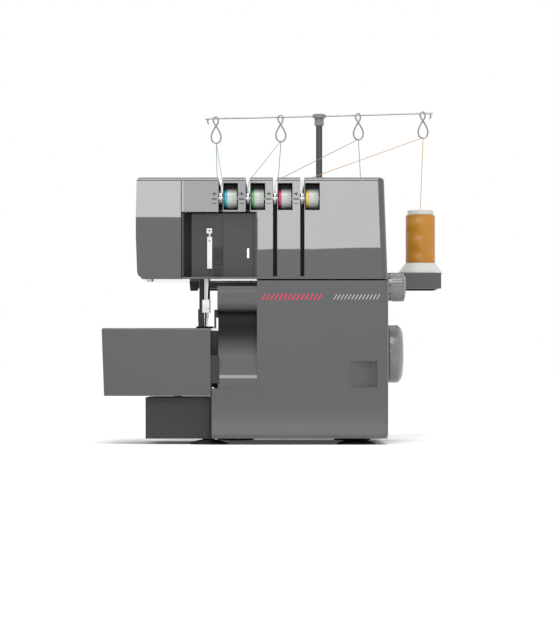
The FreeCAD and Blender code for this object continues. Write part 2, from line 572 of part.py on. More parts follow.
def make_looper_cover():
    """Front cover of the bed: panel, lower left wing, chip chute and the guard above the chute."""
    back = "front + cover_depth"
    left = "column_left"
    lower_left = "bed_left"
    top = "arm_under - 1.6"
    panel = block("CoverPanel", (left, "body_right"), ("front", back), ("cover_low", top))
    wing = block("CoverWing", (lower_left, left + " + 1"), ("front", back), ("cover_low", "chute_low"))
    # the guard's front rolls in towards the chute and ends in a chamfer and a band that leans back
    roll_steps = 4
    guard_line = []
    for step in range(roll_steps + 1):
        turn = math.radians(90 * step / roll_steps)
        guard_line.append(("front + bump_roll * %.4f" % (1 - math.sin(turn)),
                           "chute_high + bump_roll * %.4f" % (1 - math.cos(turn))))
    guard_line += [("front", "bump_top - bump_edge"),
                   ("front + bump_chamfer * 0.6", "bump_top - bump_edge + bump_chamfer"),
                   ("front + bump_chamfer * 0.6 + bump_lean", "bump_top"),
                   (back, "bump_top"), (back, "chute_high")]
    guard = padded("CoverGuard", "YZ_Plane", guard_line, "bump_left", left + " + 1")
    outer = fuse("CoverOuter", [panel, wing, guard])

    def low_front(edge):
        ends = [edge.Vertexes[0].Point, edge.Vertexes[-1].Point]
        return all(abs(end.y - number("front")) < 0.01 and abs(end.z - number("cover_low")) < 0.01 for end in ends)

    def right_side(edge):
        return upright(edge) and edge.Vertexes[0].X > number("body_right - 1") \
            and edge.Vertexes[0].Y < number("front + 1")

    soft = rounded("CoverSide", rounded("CoverLow", outer, "cover_round", low_front), "cover_round",
                   right_side)
    panel_in = block("PanelIn", (left + " + shell", "body_right - shell"), ("front + shell", back + " + 1"),
                     ("cover_low + shell", top + " - shell"))
    wing_in = block("WingIn", (lower_left + " + shell", left + " + shell + 1"),
                    ("front + shell", back + " + 1"),
                    ("cover_low + shell", "chute_low - shell"))
    guard_room = [("front + shell + bump_roll", "chute_high - 1"),
                  ("front + shell", "chute_high + bump_roll"),
                  ("front + shell", "bump_top - bump_edge"),
                  ("front + shell + bump_lean", "bump_top - shell"),
                  (back + " + 1", "bump_top - shell"), (back + " + 1", "chute_high - 1")]
    guard_in = padded("GuardIn", "YZ_Plane", guard_room, "bump_left + shell", left + " + shell + 1")
    # near the hinge the side walls and the floor stop short, so that the cover swings clear of the pan
    hinge_room = block("HingeRoom", (lower_left + " - 1", "body_right + 1"), ("hinge_y + 5", back + " + 1"),
                       ("cover_low - 1", "hinge_z + 7"))
    bracket_room = [block("BracketRoom", (spot + " - 11", spot + " + 7.5"),
                          ("front + shell + 0.2", "hinge_y + 6"),
                          ("cover_low - 1", "cover_low + shell + 1")) for spot in ("-56", "90")]
    hollow = cut("CoverHollow", soft, [panel_in, wing_in, guard_in, hinge_room] + bracket_room)

    # the chute drops behind the guard, leans forward, and runs down a ramp to an upright lip
    lip = "front + 1.2"
    deepest = "front + cover_depth - shell"
    front_line = [(lip, "chute_low - 2"), (lip, "chute_ramp_low"),
                  (lip + " + chute_ramp_run", "chute_ramp_high"),
                  (deepest, "chute_wall_low"), (deepest, "chute_high + 1")]
    back_line = [(across + " + panel_wall", up) for across, up in front_line]
    chute = padded("ChuteWall", "YZ_Plane", front_line + back_line[::-1], "bump_left + 0.5", left + " + 1")

    # eyes of the cover round the sliding sleeves
    eyes = []
    for low, high in (("-36", "-16"), ("44", "64")):
        eyes.append(rod("CoverEye", "x", ("hinge_y", "hinge_z"), "5.4", (low, high)))
    solid = fuse("CoverSolid", [hollow, chute] + eyes)
    bore = rod("CoverBore", "x", ("hinge_y", "hinge_z"), "hinge_radius + 2 + running_fit",
               (lower_left + " - 1", "body_right"))
    # the notch is a slanted scoop, deepest at its right end
    wedge = padded("NotchWedge", "XY_Plane",
                   [("notch_right - 30", "front - 1"), ("notch_right", "front - 1"),
                    ("notch_right", "front + 8"),
                    ("notch_right - 6", "front + 8"), ("notch_right - 30", "front")],
                   "notch_z - 14", "notch_z + 14")
    backing = padded("NotchBacking", "XY_Plane",
                     [("notch_right - 34", "front + 1"), ("notch_right + 3", "front + 1"),
                      ("notch_right + 3", "front + 10.4"), ("notch_right - 7", "front + 10.4")],
                     "notch_z - 16.5", "notch_z + 16.5")
    backed = fuse("CoverBacked", [cut("CoverBored", solid, [bore]), backing])
    return node("looper_cover", cut("LooperCover", backed, [wedge]))


def make_cover_sleeves():
    """Two plastic sleeves that slide along the hinge rod and carry the looper cover."""
    sleeves = [ring("Sleeve", "x", ("hinge_y", "hinge_z"), "hinge_radius + 2", "hinge_radius + running_fit",
                    (low, high)) for low, high in (("-38", "-14"), ("42", "66"))]
    return node("cover_sleeves", group("CoverSleeves", sleeves))


def make_hinge_pins():
    """Steel rod of the looper cover, upright pin of the cloth plate and headed pin of the lifter."""
    cover_rod = rod("HingeRod", "x", ("hinge_y", "hinge_z"), "hinge_radius", ("-58", "98"))
    plate_pin = rod("PlatePin", "z", ("plate_pin_x", "plate_pin_y"), "plate_pin_radius",
                    ("pan_under + pan_floor", "bed_top - 6.5"))
    lifter = ("lifter_x", "lifter_z")
    lifter_pin = fuse("LifterPin", [rod("LifterPinRod", "y", lifter, "lifter_pin_radius",
                                        ("arm_back", "arm_back + 7")),
                                    rod("LifterPinHead", "y", lifter, "lifter_pin_radius + 2.2",
                                        ("arm_back + 7", "arm_back + 9"))])
    return node("hinge_pins", group("HingePins", [cover_rod, plate_pin, lifter_pin]))


def make_cloth_plate():
    """Swing-away cloth plate: a flat top with a deep skirt, cut away round the needle plate."""
    right = "bed_left - 1.2"
    top = "bed_top"
    outer = padded("PlateOuter", "XZ_Plane",
                   [("plate_left + plate_taper", "skirt_low"), (right, "skirt_low"), (right, top),
                    ("plate_left", top)], "front", "plate_back")

    def corner(edge):
        ends = [edge.Vertexes[0].Point, edge.Vertexes[-1].Point]
        tall = abs(ends[0].z - ends[1].z) > 50
        return tall and all(end.x < number("plate_left + 10") for end in ends) and abs(ends[0].y - ends[1].y) < 1

    def rim(edge):
        ends = [edge.Vertexes[0].Point, edge.Vertexes[-1].Point]
        return all(abs(end.z - number("bed_top")) < 0.01 for end in ends) \
            and not all(abs(end.x - number("bed_left - 1.2")) < 0.01 for end in ends)

    soft = rounded("PlateRim", rounded("PlateCorner", outer, "plate_corner", corner), "plate_rim", rim)
    hollow = block("PlateHollow", ("plate_left + plate_taper + shell", right + " + 1"),
                   ("front + shell", "plate_back - shell"), ("skirt_low - 1", top + " - shell"))
    needle_room = block("NeedlePlateRoom", ("needle_plate_left - 0.5", right + " + 1"),
                        ("needle_plate_front - 0.5", "plate_back + 1"), ("skirt_low - 1", top + " + 1"))
    hub = rod("PlateHub", "z", ("plate_pin_x", "plate_pin_y"), "plate_pin_radius + 4",
              ("block_top + 1", top + " - 1"))
    web = block("PlateWeb", ("plate_pin_x - 2", "plate_pin_x + 2"), ("plate_pin_y", "plate_back - 1"),
                ("skirt_low + 10", top + " - 1"))
    solid = fuse("PlateSolid", [cut("PlateShell", soft, [hollow, needle_room]), hub, web])
    bore = rod("PlateBore", "z", ("plate_pin_x", "plate_pin_y"), "plate_pin_radius + running_fit",
               ("block_top", top + " - 6"))
    return node("cloth_plate", cut("ClothPlate", solid, [bore]))


FEED_SLOTS = (("-94.5", "-81.5"), ("-115", "-102.5"))


def make_needle_plate():
    """Steel plate under the foot with the needle slot, the feed slots and the knife slot."""
    low = "bed_top - needle_plate_thick"
    plate = block("PlateSteel", ("needle_plate_left", "column_left - seam"),
                  ("needle_plate_front", "bed_front - 0.5"),
                  (low, "bed_top"))
    tools = [block("NeedleSlot", ("needle_x - 5", "needle_x + 3"), ("needle_y - 2.2", "needle_y + 2.2"),
                   (low + " - 1", "bed_top + 1")),
             block("KnifeSlot", ("knife_blade_x - 3.6", "knife_blade_x + 3.2"),
                   ("needle_y - 17", "needle_y - 4"),
                   (low + " - 1", "bed_top + 1"))]
    for near, far in FEED_SLOTS:
        tools.append(block("FeedSlot", ("needle_x - 14.6", "needle_x - 8.4"), (near, far),
                           (low + " - 1", "bed_top + 1")))
    tools.append(rod("PlateScrewHole", "z", ("-50", "cross_wall_y + 3"), "1.6",
                     (low + " - 1", "bed_top + 1")))
    return node("needle_plate", cut("NeedlePlate", plate, tools))


# ---------------------------------------------------------------------------------------------
# Cast frame, shafts, motor and belt
# ---------------------------------------------------------------------------------------------
def make_main_frame():
    """Cast aluminium frame: bed slab, bearing walls, arm beam and the bosses of the two bars."""
    slab_top = "pan_under + pan_floor + 6"
    back = "frame_back"
    web = ("end_wall_x", "end_wall_x + frame_wall")
    column = ("column_wall_x", "column_wall_x + frame_wall")
    right = ("right_wall_x", "right_wall_x + right_wall_thick")
    parts = [
        block("Slab", ("bed_left + 3.5", "108"), ("foot_front", "column_back - 6"),
              ("pan_under + pan_floor", slab_top)),
        block("RightWall", right, ("-100", back), (slab_top, "frame_top")),
        block("ColumnWall", column, ("cross_wall_y", back), (slab_top, "frame_top")),
        block("EndWall", web, ("cross_wall_y", back), (slab_top, "bed_top - 16")),
        block("CrossWall", (web[0], column[1]), ("cross_wall_y", "cross_wall_y + frame_wall"),
              (slab_top, "bed_top - needle_plate_thick")),
        block("Ledge", ("needle_plate_left", "end_wall_x + 1"),
              ("cross_wall_y", "cross_wall_y + frame_wall"),
              ("bed_top - 36", "bed_top - needle_plate_thick")),
        block("ArmBeam", (web[0], right[1]), ("cross_wall_y + 6", "cross_wall_y + 18"),
              ("beam_low", "frame_top")),
        block("HeadWeb", web, ("needle_y - 8", "rocker_y + 10"), ("boss_low", "frame_top")),
        block("BossLow", ("presser_x - 8", web[0] + " + 1"), ("needle_y - 8", "presser_y + 8"),
              ("boss_low", "boss_low + boss_thick_low")),
        block("BossHigh", ("presser_x - 8", web[0] + " + 1"), ("needle_y - 8", "presser_y + 8"),
              ("boss_high", "boss_high + boss_thick_high")),
    ]
    cast = fuse("Cast", parts)
    bores = []
    for x, y, radius in (("needle_x", "needle_y", "needle_bar_radius"),
                         ("presser_x", "presser_y", "presser_bar_radius")):
        bores.append(rod("BarBore", "z", (x, y), radius + " + bushing_wall", ("boss_low - 1", "frame_top")))
    bores.append(rod("MainBore", "x", ("shaft_y", "shaft_z"), "bearing_radius",
                     ("end_wall_x - 1", "right_wall_x + 20")))
    bores.append(rod("RockerBore", "x", ("rocker_y", "rocker_z"), "rocker_bearing_radius",
                     ("end_wall_x - 1", "column_wall_x + 20")))
    bores.append(rod("MotorBore", "x", ("motor_y", "motor_z"), "motor_shaft_radius + 2",
                     ("right_wall_x - 1", "right_wall_x + 20")))
    bores.append(rod("KnifeBore", "x", ("knife_y", "knife_z"), "knife_shaft_radius + running_fit",
                     ("column_wall_x - 1", "column_wall_x + 20")))
    for x, z in LOOPER_PIVOTS:
        bores.append(rod("LooperBore", "y", (x, z), "looper_shaft_radius + running_fit",
                         ("cross_wall_y - 1", "cross_wall_y + 20")))
    bores.append(block("FeedRoom", ("needle_x - 14.4", "needle_x - 8.6"),
                       ("cross_wall_y - 1", "cross_wall_y + 20"),
                       ("feed_low - 0.3", "feed_low + 14.3")))
    bores.append(rod("NeedlePlateThread", "z", ("-50", "cross_wall_y + 3"), "1.6",
                     ("bed_top - 14", "bed_top")))
    return node("main_frame", cut("MainFrame", cast, bores))


def make_bearings():
    """Four bronze bushings of the two bars, and the ring bearings of the main and rocker shafts."""
    rings = []
    for x, y, radius in (("needle_x", "needle_y", "needle_bar_radius"),
                         ("presser_x", "presser_y", "presser_bar_radius")):
        for low, thick in (("boss_low", "boss_thick_low"), ("boss_high", "boss_thick_high")):
            rings.append(ring("Bushing", "z", (x, y), radius + " + bushing_wall", radius + " + running_fit",
                              (low, low + " + " + thick)))
    for low, thick in (("end_wall_x", "frame_wall"), ("column_wall_x", "frame_wall"),
                       ("right_wall_x", "right_wall_thick")):
        rings.append(ring("MainBearing", "x", ("shaft_y", "shaft_z"), "bearing_radius",
                          "shaft_radius + running_fit",
                          (low, low + " + " + thick)))
    for low in ("end_wall_x", "column_wall_x"):
        rings.append(ring("RockerBearing", "x", ("rocker_y", "rocker_z"), "rocker_bearing_radius",
                          "rocker_radius + running_fit", (low, low + " + frame_wall")))
    return node("bearings", group("Bearings", rings))


def make_drive():
    """Main shaft with its eccentrics and pulley, the motor with its own pulley, and the belt."""
    centre = ("shaft_y", "shaft_z")
    node("main_shaft", rod("MainShaft", "x", centre, "shaft_radius", ("end_wall_x - 2", "body_right + 14")))
    discs = []
    for low in ("-48", "-34", "60"):
        disc = rod("Eccentric", "x", ("shaft_y + eccentric_throw", "shaft_z"), "eccentric_radius",
                   (low, low + " + 6"))
        discs.append(cut("EccentricBored", disc, [rod("EccentricBore", "x", centre, "shaft_radius",
                                                      (low + " - 1", low + " + 7"))]))
    node("drive_eccentrics", group("DriveEccentrics", discs))
    wide = ("pulley_left", "pulley_left + pulley_width")
    node("shaft_pulley", ring("ShaftPulley", "x", centre, "pulley_radius", "shaft_radius", wide))
    motor_centre = ("motor_y", "motor_z")
    node("motor", cut("Motor", rod("MotorBody", "x", motor_centre, "motor_radius",
                                   ("right_wall_x - motor_length", "right_wall_x")),
                      [rod("MotorSocket", "x", motor_centre, "motor_shaft_radius + running_fit",
                           ("right_wall_x - 20", "right_wall_x + 1"))]))
    rotor = [rod("MotorShaft", "x", motor_centre, "motor_shaft_radius",
                 ("right_wall_x - 19", "pulley_left + pulley_width + 2")),
             ring("MotorPulley", "x", motor_centre, "motor_pulley_radius", "motor_shaft_radius", wide)]
    node("motor_pulley", group("MotorRotor", rotor))
    node("drive_belt", make_belt())


def belt_loop(grow):
    """Face inside a taut loop round both pulleys, set out from them by an amount."""
    big = size("pulley_radius") + grow
    small = size("motor_pulley_radius") + grow
    x = size("pulley_left")
    top = FreeCAD.Vector(x, size("shaft_y"), size("shaft_z"))
    low = FreeCAD.Vector(x, size("motor_y"), size("motor_z"))
    run = (low - top).normalize()
    across = FreeCAD.Vector(0, -run.z, run.y)
    lean = math.asin((big - small) / low.distanceToPoint(top))

    def rim(centre, radius, side):
        return centre + run * (radius * math.sin(lean)) + across * (side * radius * math.cos(lean))

    edges = [Part.LineSegment(rim(top, big, 1), rim(low, small, 1)).toShape(),
             Part.Arc(rim(low, small, 1), low + run * small, rim(low, small, -1)).toShape(),
             Part.LineSegment(rim(low, small, -1), rim(top, big, -1)).toShape(),
             Part.Arc(rim(top, big, -1), top - run * big, rim(top, big, 1)).toShape()]
    return Part.Face(Part.Wire(edges))


def make_belt():
    """Flat drive belt, as wide as the pulleys less a small margin."""
    band = belt_loop(size("belt_gap") + size("belt_thick")).cut(belt_loop(size("belt_gap")))
    item = doc.addObject("Part::Feature", "DriveBelt")
    item.Shape = band.extrude(FreeCAD.Vector(size("pulley_width") - 2, 0, 0))
    item.Placement = FreeCAD.Placement(FreeCAD.Vector(1, 0, 0), FreeCAD.Rotation())
    return item


def make_handwheel():
    """Moulded handwheel with a domed outer face and a finger rim."""
    rim = "wheel_radius"
    wide = "wheel_width"
    profile = [("shaft_radius", "0"), (rim + " - 2", "0"), (rim, "2"), (rim, wide + " - 6"),
               (rim + " - 3", wide + " - 2.4"), (rim + " - 7", wide + " - 0.6"), (rim + " - 14", wide),
               ("0", wide), ("0", "body_right + 14 - (body_right + wheel_gap)"),
               ("shaft_radius", "body_right + 14 - (body_right + wheel_gap)")]
    return node("handwheel", turned("Handwheel", profile, "x",
                                    ("body_right + wheel_gap", "shaft_y", "shaft_z")))


# ---------------------------------------------------------------------------------------------
# Needle bar, presser bar and their drive
# ---------------------------------------------------------------------------------------------
def make_needle_parts():
    """Needle bar with its driving holder, the clamp and two needles."""
    centre = ("needle_x", "needle_y")
    bar = rod("NeedleBarRod", "z", centre, "needle_bar_radius", ("clamp_low + 9", "beam_low + 26"))
    holder = block("HolderBlock", ("needle_x - 3.6", "needle_x + 4.2"), ("needle_y - 6", "needle_y + 4.5"),
                   ("rocker_z - 4", "rocker_z + 4"))
    holder = cut("NeedleBarHolder", holder, [rod("HolderBore", "z", centre, "needle_bar_radius",
                                                 ("rocker_z - 5", "rocker_z + 5"))])
    node("needle_bar", group("NeedleBar", [bar, holder]))
    clamp = rounded("ClampRound", block("ClampBlock", ("needle_x - 5.4", "needle_x + 3.6"),
                                        ("needle_y - 4.6", "needle_y + 4.4"),
                                        ("clamp_low", "clamp_low + 14")),
                    "clamp_round", upright)
    screw = rod("ClampScrew", "y", ("needle_x", "clamp_low + 5"), "1.6",
                ("needle_y - 7.4", "needle_y - 4.6"))
    tools = [rod("ClampBore", "z", centre, "needle_bar_radius", ("clamp_low + 9", "clamp_low + 15"))]
    needles = []
    for shift in ("-2.6", "0.6"):
        spot = ("needle_x + (%s)" % shift, "needle_y")
        tools.append(rod("NeedleBore", "z", spot, "0.8", ("clamp_low - 1", "clamp_low + 7")))
        shank = rod("NeedleShank", "z", spot, "0.8", ("clamp_low - 6", "clamp_low + 7"))
        blade = doc.addObject("Part::Cone", "NeedleBlade")
        blade.setExpression("Radius1", "0.18")
        blade.setExpression("Radius2", "0.45")
        blade.setExpression("Height", bound("clamp_low - 6 - needle_tip"))
        place(blade, spot[0], spot[1], "needle_tip")
        needles.append(fuse("Needle", [shank, blade]))
    node("needle_clamp", cut("NeedleClamp", fuse("ClampSolid", [clamp, screw]), tools))
    node("needles", group("Needles", needles))


def make_rocker_parts():
    """Arm rocker shaft, the lever that drives the needle bar, and the rod from the main shaft."""
    centre = ("rocker_y", "rocker_z")
    shaft = rod("RockerShaft", "x", centre, "rocker_radius", ("end_wall_x - 8", "66"))
    tip = "rocker_y - lever_reach"
    lever = [block("LeverArm", ("end_wall_x - 8", "end_wall_x - 2"), (tip, "rocker_y"),
                   ("rocker_z - 3.6", "rocker_z + 3.6")),
             rod("LeverHub", "x", centre, "8", ("end_wall_x - 8", "end_wall_x - 2")),
             rod("LeverTip", "x", (tip, "rocker_z"), "3.6", ("end_wall_x - 8", "end_wall_x - 2"))]
    bore = rod("LeverBore", "x", centre, "rocker_radius", ("end_wall_x - 9", "end_wall_x"))
    lever = cut("NeedleDriveLever", fuse("LeverSolid", lever), [bore])
    crank = [block("CrankArm", ("60", "66"), ("rocker_y", "rocker_y + 20"),
                   ("rocker_z - 3.6", "rocker_z + 3.6")),
             rod("CrankHub", "x", centre, "8", ("60", "66"))]
    crank = cut("RockerCrank", fuse("CrankSolid", crank),
                [rod("CrankBore", "x", centre, "rocker_radius", ("59", "67"))])
    node("rocker_shaft", group("Rocker", [shaft, lever, crank]))
    reach = "eccentric_radius + eccentric_throw + 1.2"
    prong = [block("RodBridge", ("60", "71"), ("shaft_y - (%s) - 4" % reach, "shaft_y + %s + 4" % reach),
                   ("shaft_z + %s + 8" % reach, "shaft_z + %s + 14" % reach)),
             block("RodProngA", ("60", "66"), ("shaft_y - (%s) - 4" % reach, "shaft_y - (%s)" % reach),
                   ("shaft_z - 12", "shaft_z + %s + 9" % reach)),
             block("RodProngB", ("60", "66"), ("shaft_y + %s" % reach, "shaft_y + %s + 4" % reach),
                   ("shaft_z - 12", "shaft_z + %s + 9" % reach)),
             block("RodLink", ("67", "71"), ("rocker_y + 16", "rocker_y + 24"),
                   ("shaft_z + %s + 9" % reach, "rocker_z + 6"))]
    node("connecting_rod", fuse("ConnectingRod", prong))


def make_presser_parts():
    """Presser bar with its spring, ankle, foot and the black release lever behind the ankle."""
    centre = ("presser_x", "presser_y")
    foot_top = "bed_top + 2.2"
    ankle_low = "bed_top + 8.2"
    collar_low = "boss_low + boss_thick_low + 1.5"
    bar = [rod("PresserRod", "z", centre, "presser_bar_radius", (ankle_low + " + 8", "frame_top - 4")),
           rod("PresserCollar", "z", centre, "presser_bar_radius + 2.6", (collar_low, collar_low + " + 5"))]
    node("presser_bar", fuse("PresserBar", bar))
    spring = doc.addObject("Part::Feature", "PresserSpring")
    low = number(collar_low + " + 5") + 0.8
    high = size("boss_high") - 0.8
    coil = Part.makeHelix((high - low) / 7, high - low, size("presser_bar_radius") + 1.6)
    wire = Part.Wire(Part.makeCircle(0.6, FreeCAD.Vector(size("presser_bar_radius") + 1.6, 0, 0),
                                     FreeCAD.Vector(0, 1, 0)))
    spring.Shape = Part.Wire(coil.Edges).makePipeShell([wire], True, True)
    spring.Placement = FreeCAD.Placement(FreeCAD.Vector(size("presser_x"), size("presser_y"), low),
                                         FreeCAD.Rotation())
    node("presser_spring", spring)
    ankle = block("AnkleBlock", ("presser_x - 4.6", "presser_x + 4.6"),
                  ("presser_y - 5", "presser_y + 4.8"),
                  (ankle_low, ankle_low + " + 13"))
    ankle_bore = rod("AnkleBore", "z", centre, "presser_bar_radius",
                     (ankle_low + " + 8", ankle_low + " + 14"))
    ankle = cut("PresserAnkle", rounded("AnkleRound", ankle, "clamp_round", upright), [ankle_bore])
    sole_low = "bed_top + 0.35"
    side = ("presser_x - 6", "needle_x + 6.6")
    sole = padded("FootSole", "YZ_Plane",
                  [("needle_y - 17", "bed_top + 1.8"), ("needle_y - 14", sole_low),
                   ("presser_y + 14", sole_low),
                   ("presser_y + 16", foot_top), ("needle_y - 12", foot_top)], side[0], side[1])
    post = block("FootPost", ("presser_x - 4.4", "presser_x + 4.4"), ("presser_y - 4", "presser_y + 4"),
                 (foot_top + " - 1", ankle_low))
    needle_room = block("FootNeedleRoom", ("needle_x - 4.6", "needle_x + 2.4"),
                        ("needle_y - 1.8", "needle_y + 1.8"),
                        (sole_low + " - 1", foot_top + " + 1"))
    node("presser_foot", cut("PresserFoot", fuse("FootSolid", [sole, post]), [needle_room]))
    release = padded("FootRelease", "YZ_Plane",
                     [("presser_y + 4.8", ankle_low + " + 1"), ("presser_y + 13", ankle_low + " - 2"),
                      ("presser_y + 13", ankle_low), ("presser_y + 4.8", ankle_low + " + 7")],
                     "presser_x - 3", "presser_x + 3")
    node("presser_ankle", group("AnkleAndRelease", [ankle, release]))


def make_lifter():
    """Lever behind the head that lifts the presser bar."""
    pivot = ("lifter_x", "lifter_z")
    span = ("arm_back + 0.6", "arm_back + 6.6")
    hub = rod("LifterHub", "y", pivot, "8", span)
    arm = padded("LifterArm", "XZ_Plane",
                 [("lifter_x - 2", "lifter_z - 7"), ("lifter_x + 6", "lifter_z - 6"),
                  ("lifter_x + 4", "lifter_z - 30"),
                  ("lifter_x + 1", "lifter_z - 38"), ("lifter_x - 7", "lifter_z - 38"),
                  ("lifter_x - 8", "lifter_z - 28")], span[0], span[1])
    node("presser_lifter", cut("PresserLifter", fuse("LifterSolid", [hub, arm]),
                               [rod("LifterBore", "y", pivot, "lifter_pin_radius + running_fit",
                                    ("arm_back", "arm_back + 8"))]))


# ---------------------------------------------------------------------------------------------
# Loopers, knives and feed dogs
# ---------------------------------------------------------------------------------------------
def make_loopers():
    """Two rocking loopers on shafts that run from front to back under the needle plate."""
    (low_x, low_z), (high_x, high_z) = LOOPER_PIVOTS
    lower_span = ("needle_y - 1", "needle_y + 4")
    lower = padded("LowerLooperArm", "XZ_Plane",
                   [(low_x + " - 4", low_z), (low_x + " + 4", low_z), (low_x + " + 3", low_z + " + 66"),
                    (low_x + " - 26", low_z + " + 64"), (low_x + " - 31", low_z + " + 60.5"),
                    (low_x + " - 8", low_z + " + 58")], *lower_span)
    shaft = rod("LowerLooperShaft", "y", (low_x, low_z), "looper_shaft_radius",
                (lower_span[0], "cross_wall_y + 14"))
    hub = rod("LowerLooperHub", "y", (low_x, low_z), "6", lower_span)
    node("lower_looper", fuse("LowerLooper", [lower, hub, shaft]))
    upper_span = ("needle_y + 6", "needle_y + 10")
    upper = padded("UpperLooperArm", "XZ_Plane",
                   [(high_x + " - 3", high_z), (high_x + " + 3", high_z),
                    (high_x + " + 2", high_z + " + 38"),
                    (high_x + " - 30", high_z + " + 41"), (high_x + " - 34", high_z + " + 39"),
                    (high_x + " - 6", high_z + " + 33")], *upper_span)
    shaft = rod("UpperLooperShaft", "y", (high_x, high_z), "looper_shaft_radius",
                (upper_span[0], "cross_wall_y + 14"))
    hub = rod("UpperLooperHub", "y", (high_x, high_z), "5.5", upper_span)
    node("upper_looper", fuse("UpperLooper", [upper, hub, shaft]))


def make_knives():
    """Moving upper knife on its rocking arm and the fixed lower knife on its upright holder."""
    blade = ("needle_y - 14.5", "needle_y - 6.5")
    arm = [rod("KnifeShaft", "x", ("knife_y", "knife_z"), "knife_shaft_radius",
               ("knife_blade_x + 1", "column_wall_x + 6")),
           block("KnifeArm", ("knife_blade_x + 1", "knife_blade_x + 7"), (blade[0], "knife_y"),
                 ("knife_z - 4", "knife_z + 4"))]
    upper = padded("UpperBlade", "YZ_Plane",
                   [(blade[0], "bed_top - 4"), (blade[1], "bed_top - 2.6"), (blade[1], "knife_z + 4"),
                    (blade[0], "knife_z + 4")], "knife_blade_x - 1", "knife_blade_x + 1")
    node("upper_knife", group("UpperKnife", [fuse("UpperKnifeArm", arm), upper]))
    lower_side = ("knife_blade_x - 3.2", "knife_blade_x - 1.1")
    lower = block("LowerBlade", lower_side, blade, ("bed_top - 26", "bed_top - 0.3"))
    holder = block("LowerKnifeHolder", ("knife_blade_x - 1.1", "knife_blade_x + 4"), blade,
                   ("pan_under + pan_floor + 6", "bed_top - 14"))
    node("lower_knife", group("LowerKnife", [lower, holder]))


def make_feed_dogs():
    """Main and differential feed dogs on two bars, one above the other."""
    across = ("needle_x - 14", "needle_x - 9")
    for name, bar_low, (near, far) in (("main_feed_dog", "feed_low + 8", FEED_SLOTS[0]),
                                       ("differential_feed_dog", "feed_low", FEED_SLOTS[1])):
        toothed = (near + " + 2.6", far + " - 2.6")
        bar = block("FeedBar", across, (toothed[0], "-52"), (bar_low, bar_low + " + 6"))
        tower = block("FeedTower", across, toothed, (bar_low, "bed_top - 0.9"))
        teeth = []
        for tooth in range(4):
            start = "%s + %s * %d / 4" % (toothed[0], "(%s - (%s))" % (toothed[1], toothed[0]), tooth)
            teeth.append(padded("Tooth", "YZ_Plane",
                                [(start, "bed_top - 1"), (start + " + 1.8", "bed_top - 1"),
                                 (start + " + 1.8", "bed_top - 0.2")],
                                *across))
        node(name, fuse("FeedDog", [bar, tower] + teeth))


# ---------------------------------------------------------------------------------------------
# Tension units
# ---------------------------------------------------------------------------------------------
def make_tension_frame():
    """Black moulding behind the front face: a channel for each slot and a pocket for each dial."""
    solids = []
    for slot in SLOTS:
        low = "dial_window_low - liner_wall" if slot in SHORT_SLOTS else "long_slot_low"
        right = slot + " + slot_width / 2 + dial_window_gap"
        near = "front + shell + 0.1"
        top = "body_top - shell - 0.3"
        blocks = [block("UnitPocket", (slot + " - slot_width / 2 - liner_wall",
                                       right + " + dial_window_width + liner_wall"),
                        (near, "front + slot_depth + liner_wall"), ("dial_window_low - liner_wall", top)),
                  block("UnitChannel", (slot + " - slot_width / 2 - liner_wall",
                                        slot + " + slot_width / 2 + liner_wall"),
                        (near, "front + slot_depth + liner_wall"), (low, top)),
                  block("UnitRear", (slot + " - slot_width / 2 - liner_wall",
                                     slot + " + slot_width / 2 + liner_wall"),
                        ("front + slot_depth",
                         "arm_back - shell - 0.3" if slot in SHORT_SLOTS else "column_back - shell - 0.3"),
                        ("slot_floor - 2 - liner_wall", top))]
        tools = [block("UnitSlot", (slot + " - slot_width / 2", slot + " + slot_width / 2"),
                       (near + " - 1", "front + slot_depth"),
                       (low + " + liner_wall" if slot not in SHORT_SLOTS
                                                               else "dial_window_low", top + " + 1")),
                 block("UnitSlotRear", (slot + " - slot_width / 2", slot + " + slot_width / 2"),
                       (near, "column_back + 1"), ("slot_floor - 2", top + " + 1")),
                 block("UnitWindow", (right, right + " + dial_window_width"),
                       (near + " - 1", "front + slot_depth"),
                       ("dial_window_low", "dial_window_high")),
                 rod("UnitPostHole", "x", dial_axis, "post_radius", (slot + " - 12", slot + " + 30"))]
        solids.append(cut("TensionUnit", fuse("UnitSolid", blocks), tools))
    return node("tension_frame", group("TensionFrame", solids))


def make_tension_units():
    """Posts, polished disc pairs in the slots, and the four dials."""
    posts = []
    discs = []
    for number_of_unit, slot in enumerate(SLOTS, start=1):
        window = slot + " + slot_width / 2 + dial_window_gap"
        posts.append(rod("TensionPost", "x", dial_axis, "post_radius",
                         (slot + " - slot_width / 2 - liner_wall",
                          window + " + dial_window_width + liner_wall")))
        for side in ("-0.95", "0.45"):
            span = (slot + " + (%s)" % side, slot + " + (%s) + disc_thickness" % side)
            discs.append(ring("TensionDisc", "x", dial_axis, "disc_radius", "post_radius", span))
        left = window + " + 0.6"
        width = "dial_window_width - 1.4"
        profile = [("post_radius + dial_bore_fit", "0"), ("dial_radius - 1.6", "0"),
                   ("dial_radius - 0.8", "1"),
                   ("dial_radius - 0.8", "2.8"), ("dial_radius", "3.2"), ("dial_radius", width + " - 0.8"),
                   ("dial_radius - 0.8", width), ("post_radius + dial_bore_fit", width)]
        node("tension_dial_%d" % number_of_unit, turned("TensionDial", profile, "x", (left,) + dial_axis))
    node("tension_posts_and_discs", group("TensionHardware", posts + discs))


